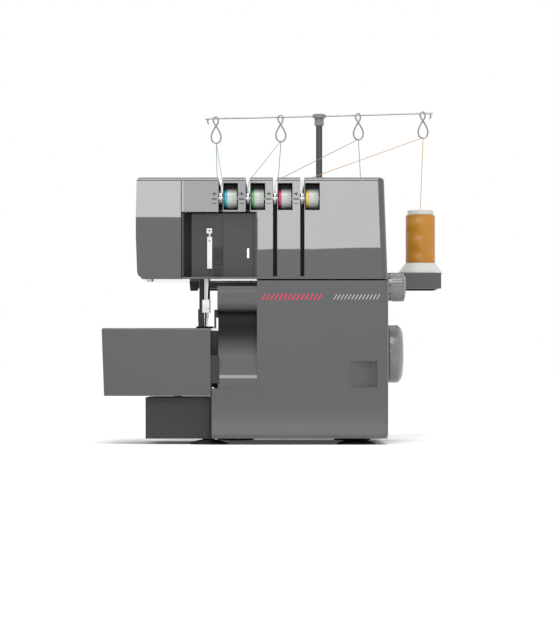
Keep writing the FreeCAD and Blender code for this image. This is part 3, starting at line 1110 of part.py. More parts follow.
def make_recess_fittings():
    """Thread guides inside the take-up window."""
    deep = "front + recess_depth"
    near = "front + recess_depth - recess_step"
    bar = [block("TakeUpBar", ("needle_x + 0.8", "needle_x + 6"), (deep + " - 3", deep),
                 ("window_low + 9.6", "window_low + 43.5")),
           block("TakeUpEye", ("needle_x + 0.2", "needle_x + 6"), (deep + " - 4.4", deep),
                 ("window_low + 47", "window_low + 52.5")),
           block("TakeUpNeck", ("needle_x + 2.4", "needle_x + 4.4"), (deep + " - 1.6", deep),
                 ("window_low + 43", "window_low + 48"))]
    holes = [rod("TakeUpHoleA", "y", ("needle_x + 3.2", "window_low + 49.8"), "0.9",
                 (deep + " - 6", deep + " + 1")),
             rod("TakeUpHoleB", "y", ("needle_x + 3.2", "window_low + 39"), "0.8",
                 (deep + " - 6", deep + " + 1"))]
    take_up = cut("TakeUpGuide", fuse("TakeUpSolid", bar), holes)
    bracket = fuse("GuideBracket", [
        block("BracketPlate", ("needle_x + 7", "needle_x + 16.6"), (deep + " - 3", deep),
              ("window_low + 14", "window_low + 32")),
        rod("BracketScrew", "y", ("needle_x + 12", "window_low + 24.5"), "2.4",
            (deep + " - 4.6", deep + " - 2.9"))])
    low_block = block("LowerGuideBlock", ("needle_x + 8.2", "needle_x + 14.4"), (deep + " - 5", deep),
                      ("window_low + 0.6", "window_low + 9.2"))
    plate = block("RightGuidePlate", ("column_left - 10.6", "column_left - 8.4"), (near + " - 2.4", near),
                  ("window_low + 20.6", "window_low + 31"))
    node("thread_guides", group("ThreadGuides", [take_up, bracket, low_block, plate]))


# ---------------------------------------------------------------------------------------------
# Controls on the right side
# ---------------------------------------------------------------------------------------------
def make_controls():
    """Stitch length dial, power switch rocker with its housing, and the power inlet."""
    wide = "21"
    gap = "1.2"
    profile = [("0", "-8"), ("stitch_stem_radius", "-8"), ("stitch_stem_radius", gap),
               ("stitch_radius - 1", gap),
               ("stitch_radius", gap + " + 1"), ("stitch_radius", wide + " - 4"),
               ("stitch_radius - 1.2", wide + " - 1.4"),
               ("stitch_radius - 3.6", wide), ("0", wide)]
    node("stitch_length_dial", turned("StitchDial", profile, "x", ("body_right", "stitch_y", "stitch_z")))
    inner = "body_right - shell - 12"
    housing = block("SwitchHousing", (inner, "body_right"), ("switch_y - 7", "switch_y + 7"),
                    ("switch_z - 11", "switch_z + 11"))
    room = block("SwitchRoom", (inner + " + 3", "body_right + 1"), ("switch_y - 5", "switch_y + 5"),
                 ("switch_z - 9", "switch_z + 9"))
    pin = rod("SwitchPin", "y", ("body_right - 4", "switch_z"), "1", ("switch_y - 6", "switch_y + 6"))
    node("switch_housing", fuse("SwitchBody", [cut("SwitchShell", housing, [room]), pin]))
    rocker = padded("SwitchRocker", "XZ_Plane",
                    [("body_right - 8", "switch_z - 3"), ("body_right - 8", "switch_z + 3"),
                     ("body_right - 1.4", "switch_z + 8"), ("body_right + 0.2", "switch_z + 8"),
                     ("body_right - 0.6", "switch_z"), ("body_right + 0.2", "switch_z - 8"),
                     ("body_right - 1.4", "switch_z - 8")], "switch_y - 4.6", "switch_y + 4.6")
    node("power_switch", cut("PowerSwitch", rocker, [rod("SwitchBore", "y", ("body_right - 4", "switch_z"),
                                                         "1 + running_fit",
                                                         ("switch_y - 7", "switch_y + 7"))]))
    inlet = block("InletBody", (inner, "body_right"), ("inlet_y - 12", "inlet_y + 12"),
                  ("inlet_z - 9", "inlet_z + 9"))
    socket = block("InletSocket", ("body_right - 12", "body_right + 1"), ("inlet_y - 9", "inlet_y + 9"),
                   ("inlet_z - 6", "inlet_z + 6"))
    blades = [block("InletBlade", ("body_right - 12.5", "body_right - 3"), (near, near + " + 1.6"),
                    ("inlet_z - 2.4", "inlet_z + 2.4")) for near in ("inlet_y - 5.8", "inlet_y - 0.8",
                                                                     "inlet_y + 4.2")]
    node("power_inlet", fuse("PowerInlet", [cut("InletShell", inlet, [socket])] + blades))


# ---------------------------------------------------------------------------------------------
# Thread stand
# ---------------------------------------------------------------------------------------------
PINS = ["mast_x - outer_pin", "mast_x - inner_pin", "mast_x + inner_pin", "mast_x + outer_pin"]
HOOKS = ["-outer_hook", "-inner_hook", "inner_hook", "outer_hook"]


def make_tray():
    """Shallow spool tray behind the column: a flat top with a skirt all round."""
    across = ("mast_x - tray_half", "mast_x + tray_half")
    body = block("TrayBlock", across, ("column_back", "tray_back"), ("tray_low", "tray_top"))
    soft = rounded("TrayRound", body, "tray_round",
                   lambda edge: upright(edge) and edge.Vertexes[0].Y > number("tray_back - 1"))
    hollow = block("TrayHollow", (across[0] + " + shell", across[1] + " - shell"),
                   ("column_back + shell", "tray_back - shell"), ("tray_low - 1", "tray_top - shell"))
    hollow_round = rounded("TrayHollowRound", hollow, "tray_inner_round",
                           lambda edge: upright(edge) and edge.Vertexes[0].Y > number("tray_back - 5"))
    holes = [rod("PinSeat", "z", (pin, "stand_y"), "pin_radius",
                 ("tray_low", "tray_top + 1")) for pin in PINS]
    holes.append(rod("MastSeat", "z", ("mast_x", "stand_y"), "mast_tube_radius",
                     ("tray_low", "tray_top + 1")))
    return node("spool_tray", cut("SpoolTray", cut("TrayShell", soft, [hollow_round]), holes))


def make_spools():
    """Four pins, four white spools with conical bases, and the thread wound on each."""
    pins = [rod("SpoolPin", "z", (pin, "stand_y"), "pin_radius",
                ("tray_top - shell", "spool_cap_top - 12")) for pin in PINS]
    node("spool_pins", group("SpoolPins", pins))
    bore = "pin_radius + 0.8"
    profile = [(bore, "tray_top"), ("spool_base_radius - 1", "tray_top"),
               ("spool_base_radius", "tray_top + 1"),
               ("spool_base_radius", "tray_top + 2.2"), ("winding_radius", "spool_base_top"),
               ("core_radius", "spool_base_top"), ("core_radius", "winding_top"),
               ("spool_cap_radius", "winding_top + 0.4"), ("spool_cap_radius", "spool_cap_top - 0.8"),
               ("spool_cap_radius - 0.8", "spool_cap_top"), ("0", "spool_cap_top"),
               ("0", "spool_cap_top - 6"),
               (bore, "spool_cap_top - 6")]
    node("spools", group("Spools", [turned("Spool", profile, at=(pin, "stand_y", "0")) for pin in PINS]))
    wound = [("core_radius", "spool_base_top"), ("winding_radius", "spool_base_top"),
             ("winding_radius", "winding_top - 1"), ("winding_radius - 1.4", "winding_top"),
             ("core_radius", "winding_top")]
    windings = [turned("Winding", wound, at=(pin, "stand_y", "0")) for pin in PINS]
    node("thread_windings", group("ThreadWindings", windings))


def make_mast():
    """Lower tube with its clip, telescoping tube, cap, and the tilted guide bar with its hooks."""
    centre = ("mast_x", "stand_y")
    tube = ring("MastTube", "z", centre, "mast_tube_radius", "mast_radius + running_fit",
                ("tray_top - shell", "mast_tube_top"))
    node("mast_tube", tube)
    node("mast", rod("Mast", "z", centre, "mast_radius", ("mast_low", "bar_height - 11")))
    cap = turned("MastCap", [("0", "bar_height - 11"), ("5.4", "bar_height - 11"),
                             ("5.4", "bar_height - 2"),
                             ("7.6", "bar_height - 2"), ("7.6", "bar_height + 1.6"),
                             ("6.4", "bar_height + 2.4"),
                             ("0", "bar_height + 2.4")], at=("mast_x", "stand_y", "0"))
    tilt = size("bar_tilt")

    bar = doc.addObject("Part::Feature", "GuideBar")
    x, y, z = (size(alias) for alias in ("mast_x", "stand_y", "bar_height"))
    wire = size("bar_radius")
    half = size("bar_half")
    shape = Part.makeCylinder(wire, 2 * half, FreeCAD.Vector(x - half, y, z), FreeCAD.Vector(1, 0, 0))
    eye_z = z - size("hook_drop")
    for hook in HOOKS:
        spot = x + number(hook)
        stem = Part.makeCylinder(0.9, z - eye_z - size("hook_eye"),
                                 FreeCAD.Vector(spot, y, eye_z + size("hook_eye")),
                                 FreeCAD.Vector(0, 0, 1))
        eye = Part.makeTorus(size("hook_eye"), 0.9, FreeCAD.Vector(spot, y, eye_z), FreeCAD.Vector(0, 1, 0))
        shape = shape.fuse([stem, eye])
    for end in (-1, 1):
        curl = Part.makeTorus(2.4, 0.9, FreeCAD.Vector(x + end * (half + 1.4), y, z + 1.2),
                              FreeCAD.Vector(0, 1, 0))
        shape = shape.fuse([curl])
    shape.rotate(FreeCAD.Vector(x, y, z), FreeCAD.Vector(0, -1, 0), tilt)
    bar.Shape = shape
    node("guide_bar", bar)
    bore = doc.addObject("Part::Feature", "CapBore")
    bore.Shape = Part.makeCylinder(wire, 30, FreeCAD.Vector(x - 15, y, z), FreeCAD.Vector(1, 0, 0))
    bore.Shape = bore.Shape.copy().rotated(FreeCAD.Vector(x, y, z), FreeCAD.Vector(0, -1, 0), tilt)
    node("mast_cap", cut("MastCapBored", cap, [bore]))


def threaded(points, radii):
    """A round path through corners: straight runs with a tangent arc at each inner corner."""
    edges = []
    here = points[0]
    for corner, after, radius in zip(points[1:-1], points[2:], radii):
        back = (here - corner).normalize()
        onward = (after - corner).normalize()
        opening = back.getAngle(onward)
        reach = radius / math.tan(opening / 2)
        start = corner + back * reach
        end = corner + onward * reach
        bisector = (back + onward).normalize()
        middle = corner + bisector * (radius / math.sin(opening / 2) - radius)
        edges += [Part.LineSegment(here, start).toShape(), Part.Arc(start, middle, end).toShape()]
        here = end
    edges.append(Part.LineSegment(here, points[-1]).toShape())
    return Part.Wire(edges)


def make_threads():
    """The four threads, each from its spool up through its hook and down into its slot."""
    stand = size("stand_y")
    tilt = math.radians(size("bar_tilt"))
    wrap = 1.9
    threads = []
    for pin, hook, slot in zip(PINS, HOOKS, SLOTS):
        away = number(hook)
        drop = size("hook_drop") + size("hook_eye")
        wire_x = size("mast_x") + away * math.cos(tilt) + drop * math.sin(tilt)
        wire_z = size("bar_height") + away * math.sin(tilt) - drop * math.cos(tilt)
        mouth = FreeCAD.Vector(number(slot), number("front + 80"), number("body_top + 1.4"))
        fall = math.atan2(wire_z - mouth.z, stand - mouth.y)
        lift = wrap * math.tan((math.pi / 2 + fall) / 2)
        over = FreeCAD.Vector(wire_x, stand + wrap, wire_z + lift)
        points = [FreeCAD.Vector(number(pin), stand, number("spool_cap_top + 0.4")), over, mouth,
                  FreeCAD.Vector(number(slot), number("front + dial_set_back + 3"),
                                 number("dial_height + disc_radius + 4")),
                  FreeCAD.Vector(number(slot), number("front + dial_set_back + 1"),
                                 number("dial_height + 5"))]
        path = threaded(points, [wrap, 4.0, 3.0])
        first = (points[1] - points[0]).normalize()
        circle = Part.Wire(Part.makeCircle(size("thread_radius"), points[0], first))
        item = doc.addObject("Part::Feature", "Thread")
        item.Shape = path.makePipeShell([circle], True, False)
        threads.append(item)
    node("threads", group("Threads", threads))


def make_screws():
    """Screws that show: under the face cover, in the needle plate and on the back of the column."""
    head = [("0", "-2.2"), ("3.4", "-2.2"), ("3.8", "-1.6"), ("3.8", "0"), ("1.6", "0"), ("1.6", "8"),
            ("0", "8")]
    screws = [turned("FaceScrew", head, at=("face_screw_x", "front + 20", "arm_under"))]
    flat = [("0", "-8"), ("1.6", "-8"), ("1.6", "0"), ("3.2", "0"), ("3.2", "0.6"), ("0", "0.6")]
    screws.append(turned("NeedlePlateScrew", flat, at=("-50", "cross_wall_y + 3", "bed_top")))
    return node("cover_screws", group("CoverScrews", screws))


# ---------------------------------------------------------------------------------------------
# Build, test and write
# ---------------------------------------------------------------------------------------------
for make in (make_base_pan, make_feet, make_top_cover, make_face_cover, make_arm_underside,
             make_recess_panel,
             make_rear_cover, make_looper_cover, make_cover_sleeves, make_hinge_pins, make_cloth_plate,
             make_needle_plate, make_main_frame, make_bearings, make_drive,
             make_handwheel, make_needle_parts, make_rocker_parts, make_presser_parts, make_lifter,
             make_loopers,
             make_knives, make_feed_dogs, make_tension_frame, make_tension_units, make_recess_fittings,
             make_controls, make_tray, make_spools, make_mast, make_threads, make_screws):
    make()
doc.recompute()

for item in doc.Objects:
    if "Invalid" in item.State or "Error" in item.State:
        raise RuntimeError("%s (%s) failed: %s" % (item.Name, item.Label, item.State))
for label, item in NODES.items():
    if item.Shape.isNull() or not item.Shape.isValid() or item.Shape.Volume <= 0:
        raise RuntimeError("%s has no valid solid" % label)
    item.Shape.exportStep("parts/%s.step" % label)

whole = FreeCAD.BoundBox()
for label, item in NODES.items():
    whole.add(item.Shape.BoundBox)
print(len(NODES), "sub-parts; box", whole)
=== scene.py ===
"""A home serger overlock machine: its looks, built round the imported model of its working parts."""

import math

import bmesh
import bpy
from mathutils import Matrix, Vector


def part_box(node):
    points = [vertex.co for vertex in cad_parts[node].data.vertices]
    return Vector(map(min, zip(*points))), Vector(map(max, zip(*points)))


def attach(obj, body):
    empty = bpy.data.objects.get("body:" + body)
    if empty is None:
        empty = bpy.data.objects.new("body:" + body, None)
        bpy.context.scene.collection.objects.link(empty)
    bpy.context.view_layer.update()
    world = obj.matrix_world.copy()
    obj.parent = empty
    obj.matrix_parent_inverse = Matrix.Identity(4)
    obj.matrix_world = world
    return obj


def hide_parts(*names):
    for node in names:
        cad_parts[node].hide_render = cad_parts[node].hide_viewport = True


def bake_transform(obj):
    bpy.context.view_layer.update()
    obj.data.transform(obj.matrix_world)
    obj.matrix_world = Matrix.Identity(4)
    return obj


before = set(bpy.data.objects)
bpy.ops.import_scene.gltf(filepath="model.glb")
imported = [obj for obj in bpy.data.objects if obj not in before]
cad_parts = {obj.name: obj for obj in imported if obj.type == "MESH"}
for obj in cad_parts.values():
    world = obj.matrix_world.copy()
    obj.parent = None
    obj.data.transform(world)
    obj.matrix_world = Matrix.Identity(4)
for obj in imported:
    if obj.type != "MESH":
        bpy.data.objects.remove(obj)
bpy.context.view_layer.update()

# ---------------------------------------------------------------------------------------------
# Casings. The rear cover, arm cover, face cover and looper cover are injection moulded in one
# glossy mid-grey plastic, and the base pan in a plainer one. All but the looper cover, which is
# hinged, are screwed to the cast frame, and they meet at fine open seams.
# ---------------------------------------------------------------------------------------------


class Tone:
    """A socket of a tree of nodes that is reckoned with like a number."""

    def __init__(self, web, socket):
        self.web = web
        self.socket = socket

    def reckon(self, operation, first, second=0.0):
        return self.web.add("ShaderNodeMath", {"operation": operation}, {0: first, 1: second})

    def __add__(self, other):
        return self.reckon("ADD", self, other)

    def __sub__(self, other):
        return self.reckon("SUBTRACT", self, other)

    def __rsub__(self, other):
        return self.reckon("SUBTRACT", other, self)

    def __mul__(self, other):
        return self.reckon("MULTIPLY", self, other)

    def __gt__(self, other):
        return self.reckon("GREATER_THAN", self, other)

    def __lt__(self, other):
        return self.reckon("LESS_THAN", self, other)

    __radd__ = __add__
    __rmul__ = __mul__


class Web:
    """A tree of nodes, with one way to add any node to it."""

    def add(self, kind, settings=None, inputs=None, output=0):
        """Any node, by its type, its settings and the values or links of its sockets."""
        item = self.tree.nodes.new(kind)
        for setting, value in (settings or {}).items():
            setattr(item, setting, value)
        for socket, value in (inputs or {}).items():
            self.join(item.inputs[socket], value)
        return Tone(self, item.outputs[output])

    def join(self, socket, value):
        if isinstance(value, Tone):
            self.tree.links.new(value.socket, socket)
        else:
            socket.default_value = value


class Finish(Web):
    """A material: one principled shader and the nodes that vary its colour, gloss and relief."""

    def __init__(self, name, **constants):
        self.material = bpy.data.materials.new(name)
        self.material.use_nodes = True
        self.tree = self.material.node_tree
        self.shader = self.tree.nodes["Principled BSDF"]
        for socket, value in constants.items():
            self.shader.inputs[socket.replace("_", " ")].default_value = value
        self.place = self.add("ShaderNodeTexCoord", output="Object")

    def give(self, **inputs):
        """Links what varies over the surface to the shader."""
        for socket, value in inputs.items():
            self.join(self.shader.inputs[socket.replace("_", " ")], value)
        return self

    def grain(self, scale, detail=2.0, stretch=(1, 1, 1)):
        """Noise from 0 to 1 over the piece, with its grain drawn out by stretch."""
        where = self.add("ShaderNodeMapping", inputs={"Vector": self.place, "Scale": stretch})
        return self.add("ShaderNodeTexNoise", inputs={"Vector": where, "Scale": scale, "Detail": detail})

    def along(self, axis):
        """The distance along one axis of the machine, in metres."""
        return self.add("ShaderNodeSeparateXYZ", inputs={0: self.place}, output=axis)

    def between(self, share, first, second):
        """A colour that runs from the first to the second with the share."""
        return self.add("ShaderNodeMix", {"data_type": "RGBA"}, {0: share, 6: first, 7: second}, 2)

    def relief(self, height, depth, strength=1.0):
        """Turns a height from 0 to 1 into dents of that depth in metres."""
        bump = self.add("ShaderNodeBump", inputs={"Height": height, "Distance": depth,
                                                  "Strength": strength})
        return self.give(Normal=bump)


def shade(red, green, blue):
    """A colour from its display values of 0 to 255."""
    levels = [level / 255 for level in (red, green, blue)]
    return tuple(v / 12.92 if v <= 0.04045 else ((v + 0.055) / 1.055) ** 2.4 for v in levels) + (1.0,)


def scaled(colour, share):
    """A darker or lighter colour of the same hue."""
    return tuple(share * level for level in colour[:3]) + (1.0,)


def moulding(name, colour, gloss, mark=0.05, texture=0.000012, texture_scale=900.0, **constants):
    """Moulded plastic: a faint drift of colour, handling marks in the gloss and a fine skin."""
    finish = Finish(name, IOR=1.5, **constants)
    drift = finish.grain(14.0)
    fleck = finish.grain(2600.0, 0.0)
    finish.give(Base_Color=finish.between(drift * 0.7 + fleck * 0.3, scaled(colour, 0.93),
                                          scaled(colour, 1.05)))
    finish.give(Roughness=finish.grain(38.0, 4.0) * mark + (gloss - mark / 2))
    return finish.relief(finish.grain(texture_scale, 1.0), texture)


def rest_in(item, finish, body, stands_for=()):
    """Gives a piece its finish, and lets it move with a body in the place of CAD nodes."""
    item.data.materials.clear()
    item.data.materials.append(finish.material)
    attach(item, body)
    if stands_for:
        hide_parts(*stands_for)
    return item


def skin(node_name, finish):
    """Gives a CAD node that is shown as it is its finish."""
    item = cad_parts[node_name]
    item.data.materials.clear()
    item.data.materials.append(finish.material)
    return item


def solid_piece(name, shell, sharp=35.0):
    """An object at the origin from a bmesh, smooth but for its sharp edges and broad creases."""
    bmesh.ops.recalc_face_normals(shell, faces=shell.faces)
    shell.normal_update()
    for edge in shell.edges:
        if len(edge.link_faces) == 2:
            turn = edge.calc_face_angle(0)
            breadth = min(face.calc_area() / max(side.calc_length() for side in face.edges)
                          for face in edge.link_faces)
            edge.smooth = turn < math.radians(sharp) and not (turn > CREASE and breadth > BROAD)
    for face in shell.faces:
        face.smooth = True
    mesh = bpy.data.meshes.new(name)
    shell.to_mesh(mesh)
    shell.free()
    item = bpy.data.objects.new(name, mesh)
    bpy.context.scene.collection.objects.link(item)
    return item


def eased(name, node_name, edge, steps=2):
    """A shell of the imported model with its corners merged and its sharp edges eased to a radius."""
    shell = bmesh.new()
    shell.from_mesh(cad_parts[node_name].data)
    bmesh.ops.remove_doubles(shell, verts=shell.verts, dist=MERGE)
    bmesh.ops.dissolve_limit(shell, angle_limit=math.radians(0.4), verts=shell.verts, edges=shell.edges)
    corners = [e for e in shell.edges if len(e.link_faces) == 2 and e.calc_face_angle(0) > SHARP]
    bmesh.ops.bevel(shell, geom=corners, offset=edge, offset_type="OFFSET", segments=steps, profile=0.5,
                    affect="EDGES", clamp_overlap=True)
    return even_shine(solid_piece(name, shell, 50.0))


def even_shine(item):
    """Keeps wide faces flat to the eye: each corner takes its normal from the faces by their area."""
    even = item.modifiers.new("EvenShine", "WEIGHTED_NORMAL")
    even.weight = 100
    even.keep_sharp = True
    return item


def loose_parts(node_name):
    """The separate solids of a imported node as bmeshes, from left to right."""
    whole = bmesh.new()
    whole.from_mesh(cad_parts[node_name].data)
    bmesh.ops.remove_doubles(whole, verts=whole.verts, dist=MERGE)
    bmesh.ops.dissolve_limit(whole, angle_limit=math.radians(0.4), verts=whole.verts, edges=whole.edges)
    left = set(whole.faces)
    groups = []
    while left:
        group = set()
        edge_of_group = [left.pop()]
        while edge_of_group:
            face = edge_of_group.pop()
            group.add(face)
            near = {f for v in face.verts for f in v.link_faces} & left
            left -= near
            edge_of_group += near
        groups.append(group)
    parts = []
    for group in groups:
        part = bmesh.new()
        copies = {v: part.verts.new(v.co) for f in group for v in f.verts}
        for face in group:
            part.faces.new([copies[v] for v in face.verts])
        parts.append(part)
    whole.free()
    return sorted(parts, key=lambda part: min(v.co.x for v in part.verts))


MERGE = 0.00002
SHARP = math.radians(40)
CREASE = math.radians(8)
BROAD = 0.005
EASE = 0.0005
LACQUER = {"Specular_IOR_Level": 0.2, "Coat_Weight": 1.0, "Coat_IOR": 1.55, "Coat_Roughness": 0.012}
CASING_GLOSS = 0.4
casing_grey = moulding("CasingGrey", shade(62, 63, 65), CASING_GLOSS, **LACQUER)
for node_name in ("rear_cover", "top_cover", "face_cover"):
    title = "".join(word.capitalize() for word in node_name.split("_"))
    rest_in(eased(title, node_name, EASE), casing_grey, "root", (node_name,))

# The looper cover carries painted shade: its colour runs to near black and its coat fades towards the back
# of its chip chute and under the rounded foot of the guard above the chute, where little light reaches.
shaded_cover_grey = moulding("CoverGreyPaintedShade", shade(62, 63, 65), CASING_GLOSS, **LACQUER)
cover_low, cover_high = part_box("looper_cover")
# depths behind the front where the chute's shade starts and is full
RAMP_BACK = 0.0092
CHUTE_DARK = 0.0165
# heights where the shade under the guard starts, is full and ends
GUARD_LIT = 0.1515
GUARD_DARK = 0.1420
GUARD_FOOT = 0.1395
# the column's left side, from the left end of the arm cover
COLUMN_LEFT_IN = 0.0801
column_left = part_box("top_cover")[0].x + COLUMN_LEFT_IN
chute_shade_share = shaded_cover_grey.add("ShaderNodeMapRange", {"clamp": True},
                             {"Value": shaded_cover_grey.along(1), "From Min": cover_low.y + RAMP_BACK,
                              "From Max": cover_low.y + CHUTE_DARK})
up = shaded_cover_grey.along(2)
guard_shade_share = shaded_cover_grey.add("ShaderNodeMapRange", {"clamp": True},
                             {"Value": up, "From Min": GUARD_LIT, "From Max": GUARD_DARK})
guard_shade_share = guard_shade_share * (up > GUARD_FOOT) * (shaded_cover_grey.along(0) < column_left)
# painted shade: the deeper of the chute's shade and the shade under the guard darkens the colour and takes
# away the coat
painted_shade_share = chute_shade_share.reckon("MAXIMUM", chute_shade_share, guard_shade_share)
lit_grey = shaded_cover_grey.between(shaded_cover_grey.grain(14.0), shade(60, 61, 63), shade(64, 65, 67))
shaded_cover_grey.give(Base_Color=shaded_cover_grey.between(painted_shade_share, lit_grey, shade(12, 12, 12)), Coat_Weight=1.0 - painted_shade_share)
rest_in(eased("LooperCover", "looper_cover", EASE), shaded_cover_grey, "front_cover",
        ("looper_cover",))

# The base pan is a plainer moulding without the gloss of the covers. Its colour is darkened as painted
# shade, for the shadow that the overhanging cloth plate casts on its front block.
pan_grey_painted_shade = moulding("PanGreyPaintedShade", shade(32, 33, 33), 0.5, 0.1)
rest_in(eased("BasePan", "base_pan", EASE), pan_grey_painted_shade, "root", ("base_pan",))

# ---------------------------------------------------------------------------------------------
# Feet. Four black rubber suction cups pressed on pegs under the base pan, finely turned.
# ---------------------------------------------------------------------------------------------
foot_rubber = moulding("FootRubber", shade(24, 24, 25), 0.62, 0.2, 0.00003, 420.0)
skin("suction_feet", foot_rubber)

# ---------------------------------------------------------------------------------------------
# Cloth plate. A satin plastic tray that carries the cloth left of the needle. Its deep skirt hides
# the free arm, and it swings away round a pin at its back.
# ---------------------------------------------------------------------------------------------
plate_grey = moulding("PlateGrey", shade(60, 62, 61), 0.5, 0.08, 0.00003, 700.0,
                      Coat_Weight=0.3, Coat_Roughness=0.12)
rest_in(eased("ClothPlate", "cloth_plate", EASE), plate_grey, "cloth_table",
        ("cloth_plate",))

# ---------------------------------------------------------------------------------------------
# Arm underside. A flat plate of the glossy casing plastic closes the arm from below. It is clipped
# inside the arm cover, and shows as a bright line above the needle.
# ---------------------------------------------------------------------------------------------
rest_in(eased("ArmUnderside", "arm_underside", EASE), casing_grey, "root",
        ("arm_underside",))


# ---------------------------------------------------------------------------------------------
# Steel work that shows: needle plate, bars, presser foot, knives, loopers, feed dogs and screws.
# It is ground or turned from steel, with the fine lay of the wheel in it. Most of it is left bright,
# but the knives, the lower looper and the presser parts are blued dark.
# ---------------------------------------------------------------------------------------------
def ground_steel(name, colour, gloss, lay, depth=0.000006):
    """Bright metal whose grinding marks run along the axis that lay does not stretch."""
    finish = Finish(name, Metallic=1.0)
    marks = finish.grain(900.0, 3.0, lay)
    stain = finish.grain(60.0, 3.0)
    finish.give(Base_Color=finish.between(marks * 0.6 + stain * 0.4, scaled(colour, 0.78), colour))
    finish.give(Roughness=marks * 0.16 + stain * 0.08 + (gloss - 0.08))
    return finish.relief(marks, depth)


BRIGHT = shade(205, 206, 205)
steel_along = ground_steel("SteelGroundAlong", BRIGHT, 0.26, (0.04, 1.0, 1.0))
steel_turned = ground_steel("SteelTurned", BRIGHT, 0.2, (0.05, 0.05, 1.6))
steel_dark = ground_steel("SteelBlued", shade(58, 58, 60), 0.34, (1.0, 0.1, 1.0))
steel_plain = ground_steel("SteelPlain", BRIGHT, 0.3, (1.0, 1.0, 1.0))

for node_name in ("needle_plate", "main_feed_dog", "differential_feed_dog"):
    skin(node_name, steel_along)
for node_name in ("needle_bar", "needles", "presser_spring"):
    skin(node_name, steel_turned)
for node_name in ("upper_knife", "lower_knife", "lower_looper", "presser_bar", "presser_ankle",
                  "presser_foot"):
    skin(node_name, steel_dark)
for node_name in ("upper_looper", "rocker_shaft", "hinge_pins", "main_shaft",
                  "drive_eccentrics", "tension_posts_and_discs", "cover_screws"):
    skin(node_name, steel_plain)
CLAMP_EASE = 0.0004
rest_in(eased("NeedleClamp", "needle_clamp", CLAMP_EASE), steel_turned, "needle_assembly",
        ("needle_clamp",))

# ---------------------------------------------------------------------------------------------
# Inner works, behind the covers: an aluminium casting carries the shafts in bronze bearings, and
# a canned motor drives them through a toothed rubber belt.
# ---------------------------------------------------------------------------------------------
# The casting's colour is kept dark grey, far darker than bare aluminium, as painted shade for the frame
# seen through the gap beside the cloth plate.
cast_metal_painted_shade = Finish("CastAluminiumPaintedShade", Metallic=0.3)
sand = cast_metal_painted_shade.grain(520.0, 4.0)
cast_metal_painted_shade.give(Base_Color=cast_metal_painted_shade.between(sand, shade(58, 59, 60), shade(84, 85, 86)),
                Roughness=sand * 0.2 + 0.42)
cast_metal_painted_shade.relief(sand, 0.00012)
for node_name in ("main_frame", "connecting_rod"):
    skin(node_name, cast_metal_painted_shade)
skin("bearings", ground_steel("BearingBronze", shade(190, 150, 84), 0.3, (1.0, 0.2, 1.0)))

motor_black = moulding("MotorEnamel", shade(38, 38, 41), 0.3, 0.1, 0.00004, 260.0)
skin("motor", motor_black)
soft_black = moulding("SoftBlackPlastic", shade(34, 34, 35), 0.46, 0.12, 0.00003, 600.0)
for node_name in ("motor_pulley", "shaft_pulley", "cover_sleeves", "presser_lifter"):
    skin(node_name, soft_black)
belt_rubber = Finish("BeltRubber", Roughness=0.7)
teeth = belt_rubber.add("ShaderNodeTexWave", {"wave_type": "RINGS", "rings_direction": "X"},
                        {"Vector": belt_rubber.place, "Scale": 120.0, "Distortion": 0.3})
belt_rubber.give(Base_Color=belt_rubber.between(teeth, shade(20, 20, 20), shade(38, 38, 38)))
belt_rubber.relief(teeth, 0.0002)
skin("drive_belt", belt_rubber)

# ---------------------------------------------------------------------------------------------
# Take-up recess. A sunk panel of matt black plastic behind the open front of the head, where the
# threads pass a white take-up guide, a black bracket and a slim steel guide.
# ---------------------------------------------------------------------------------------------
recess_black = moulding("RecessBlack", shade(26, 28, 28), 0.46, 0.1, 0.00004, 520.0,
                        Coat_Weight=0.15, Coat_Roughness=0.2)
liner_black = moulding("LinerBlack", shade(14, 14, 14), 0.55, 0.1, 0.00003, 500.0)
skin("recess_panel", recess_black)
for node_name in ("tension_frame", "switch_housing", "power_inlet", "power_switch"):
    skin(node_name, liner_black)
guide_white = moulding("GuideWhite", shade(196, 198, 196), 0.3, 0.06, 0.00002, 400.0)
guides = loose_parts("thread_guides")
GUIDES = (("TakeUpGuide", guide_white), ("GuideBracket", liner_black), ("LowerGuideBlock", liner_black),
          ("RightGuidePlate", steel_plain))
for (title, finish), part in zip(GUIDES, guides):
    named = ("thread_guides",) if title == "TakeUpGuide" else ()
    rest_in(solid_piece(title, part, 30.0), finish, "root", named)


# ---------------------------------------------------------------------------------------------
# Tension dials. Four light grey drums, each with a coloured ring for its thread, turn on steel
# posts behind windows in the arm. Fine printed ticks count the tension.
# ---------------------------------------------------------------------------------------------
def turned_ring(name, profile, centre, axis="X", sides=96):
    """A body of revolution: profile holds (distance along the axis, radius) from end to end."""
    shell = bmesh.new()
    rings = []
    for along, radius in profile:
        ring = []
        for step in range(sides):
            turn = 2 * math.pi * step / sides
            across, up = radius * math.cos(turn), radius * math.sin(turn)
            spot = {"X": (along, across, up), "Z": (across, up, along)}[axis]
            ring.append(shell.verts.new(Vector(centre) + Vector(spot)))
        rings.append(ring)
    closed = profile[0] == profile[-1]
    if closed:
        rings[-1] = rings[0]
    for low, high in zip(rings, rings[1:]):
        for step in range(sides):
            after = (step + 1) % sides
            shell.faces.new((low[step], low[after], high[after], high[step]))
    if not closed:
        shell.faces.new(rings[0][::-1])
        shell.faces.new(rings[-1])
    bmesh.ops.delete(shell, geom=[v for v in shell.verts if not v.link_faces], context="VERTS")
    return solid_piece(name, shell, 40.0)


def bars(name, places, size, edge=0.0):
    """Small square-edged bars: places holds the turn and place of each, size its three sides."""
    shell = bmesh.new()
    for place in places:
        made = bmesh.ops.create_cube(shell, size=1.0, matrix=place @ Matrix.Diagonal((*size, 1.0)))
        if edge:
            sides = {e for v in made["verts"] for e in v.link_edges}
            bmesh.ops.bevel(shell, geom=list(sides), offset=edge, segments=2, profile=0.5, affect="EDGES")
    return solid_piece(name, shell)


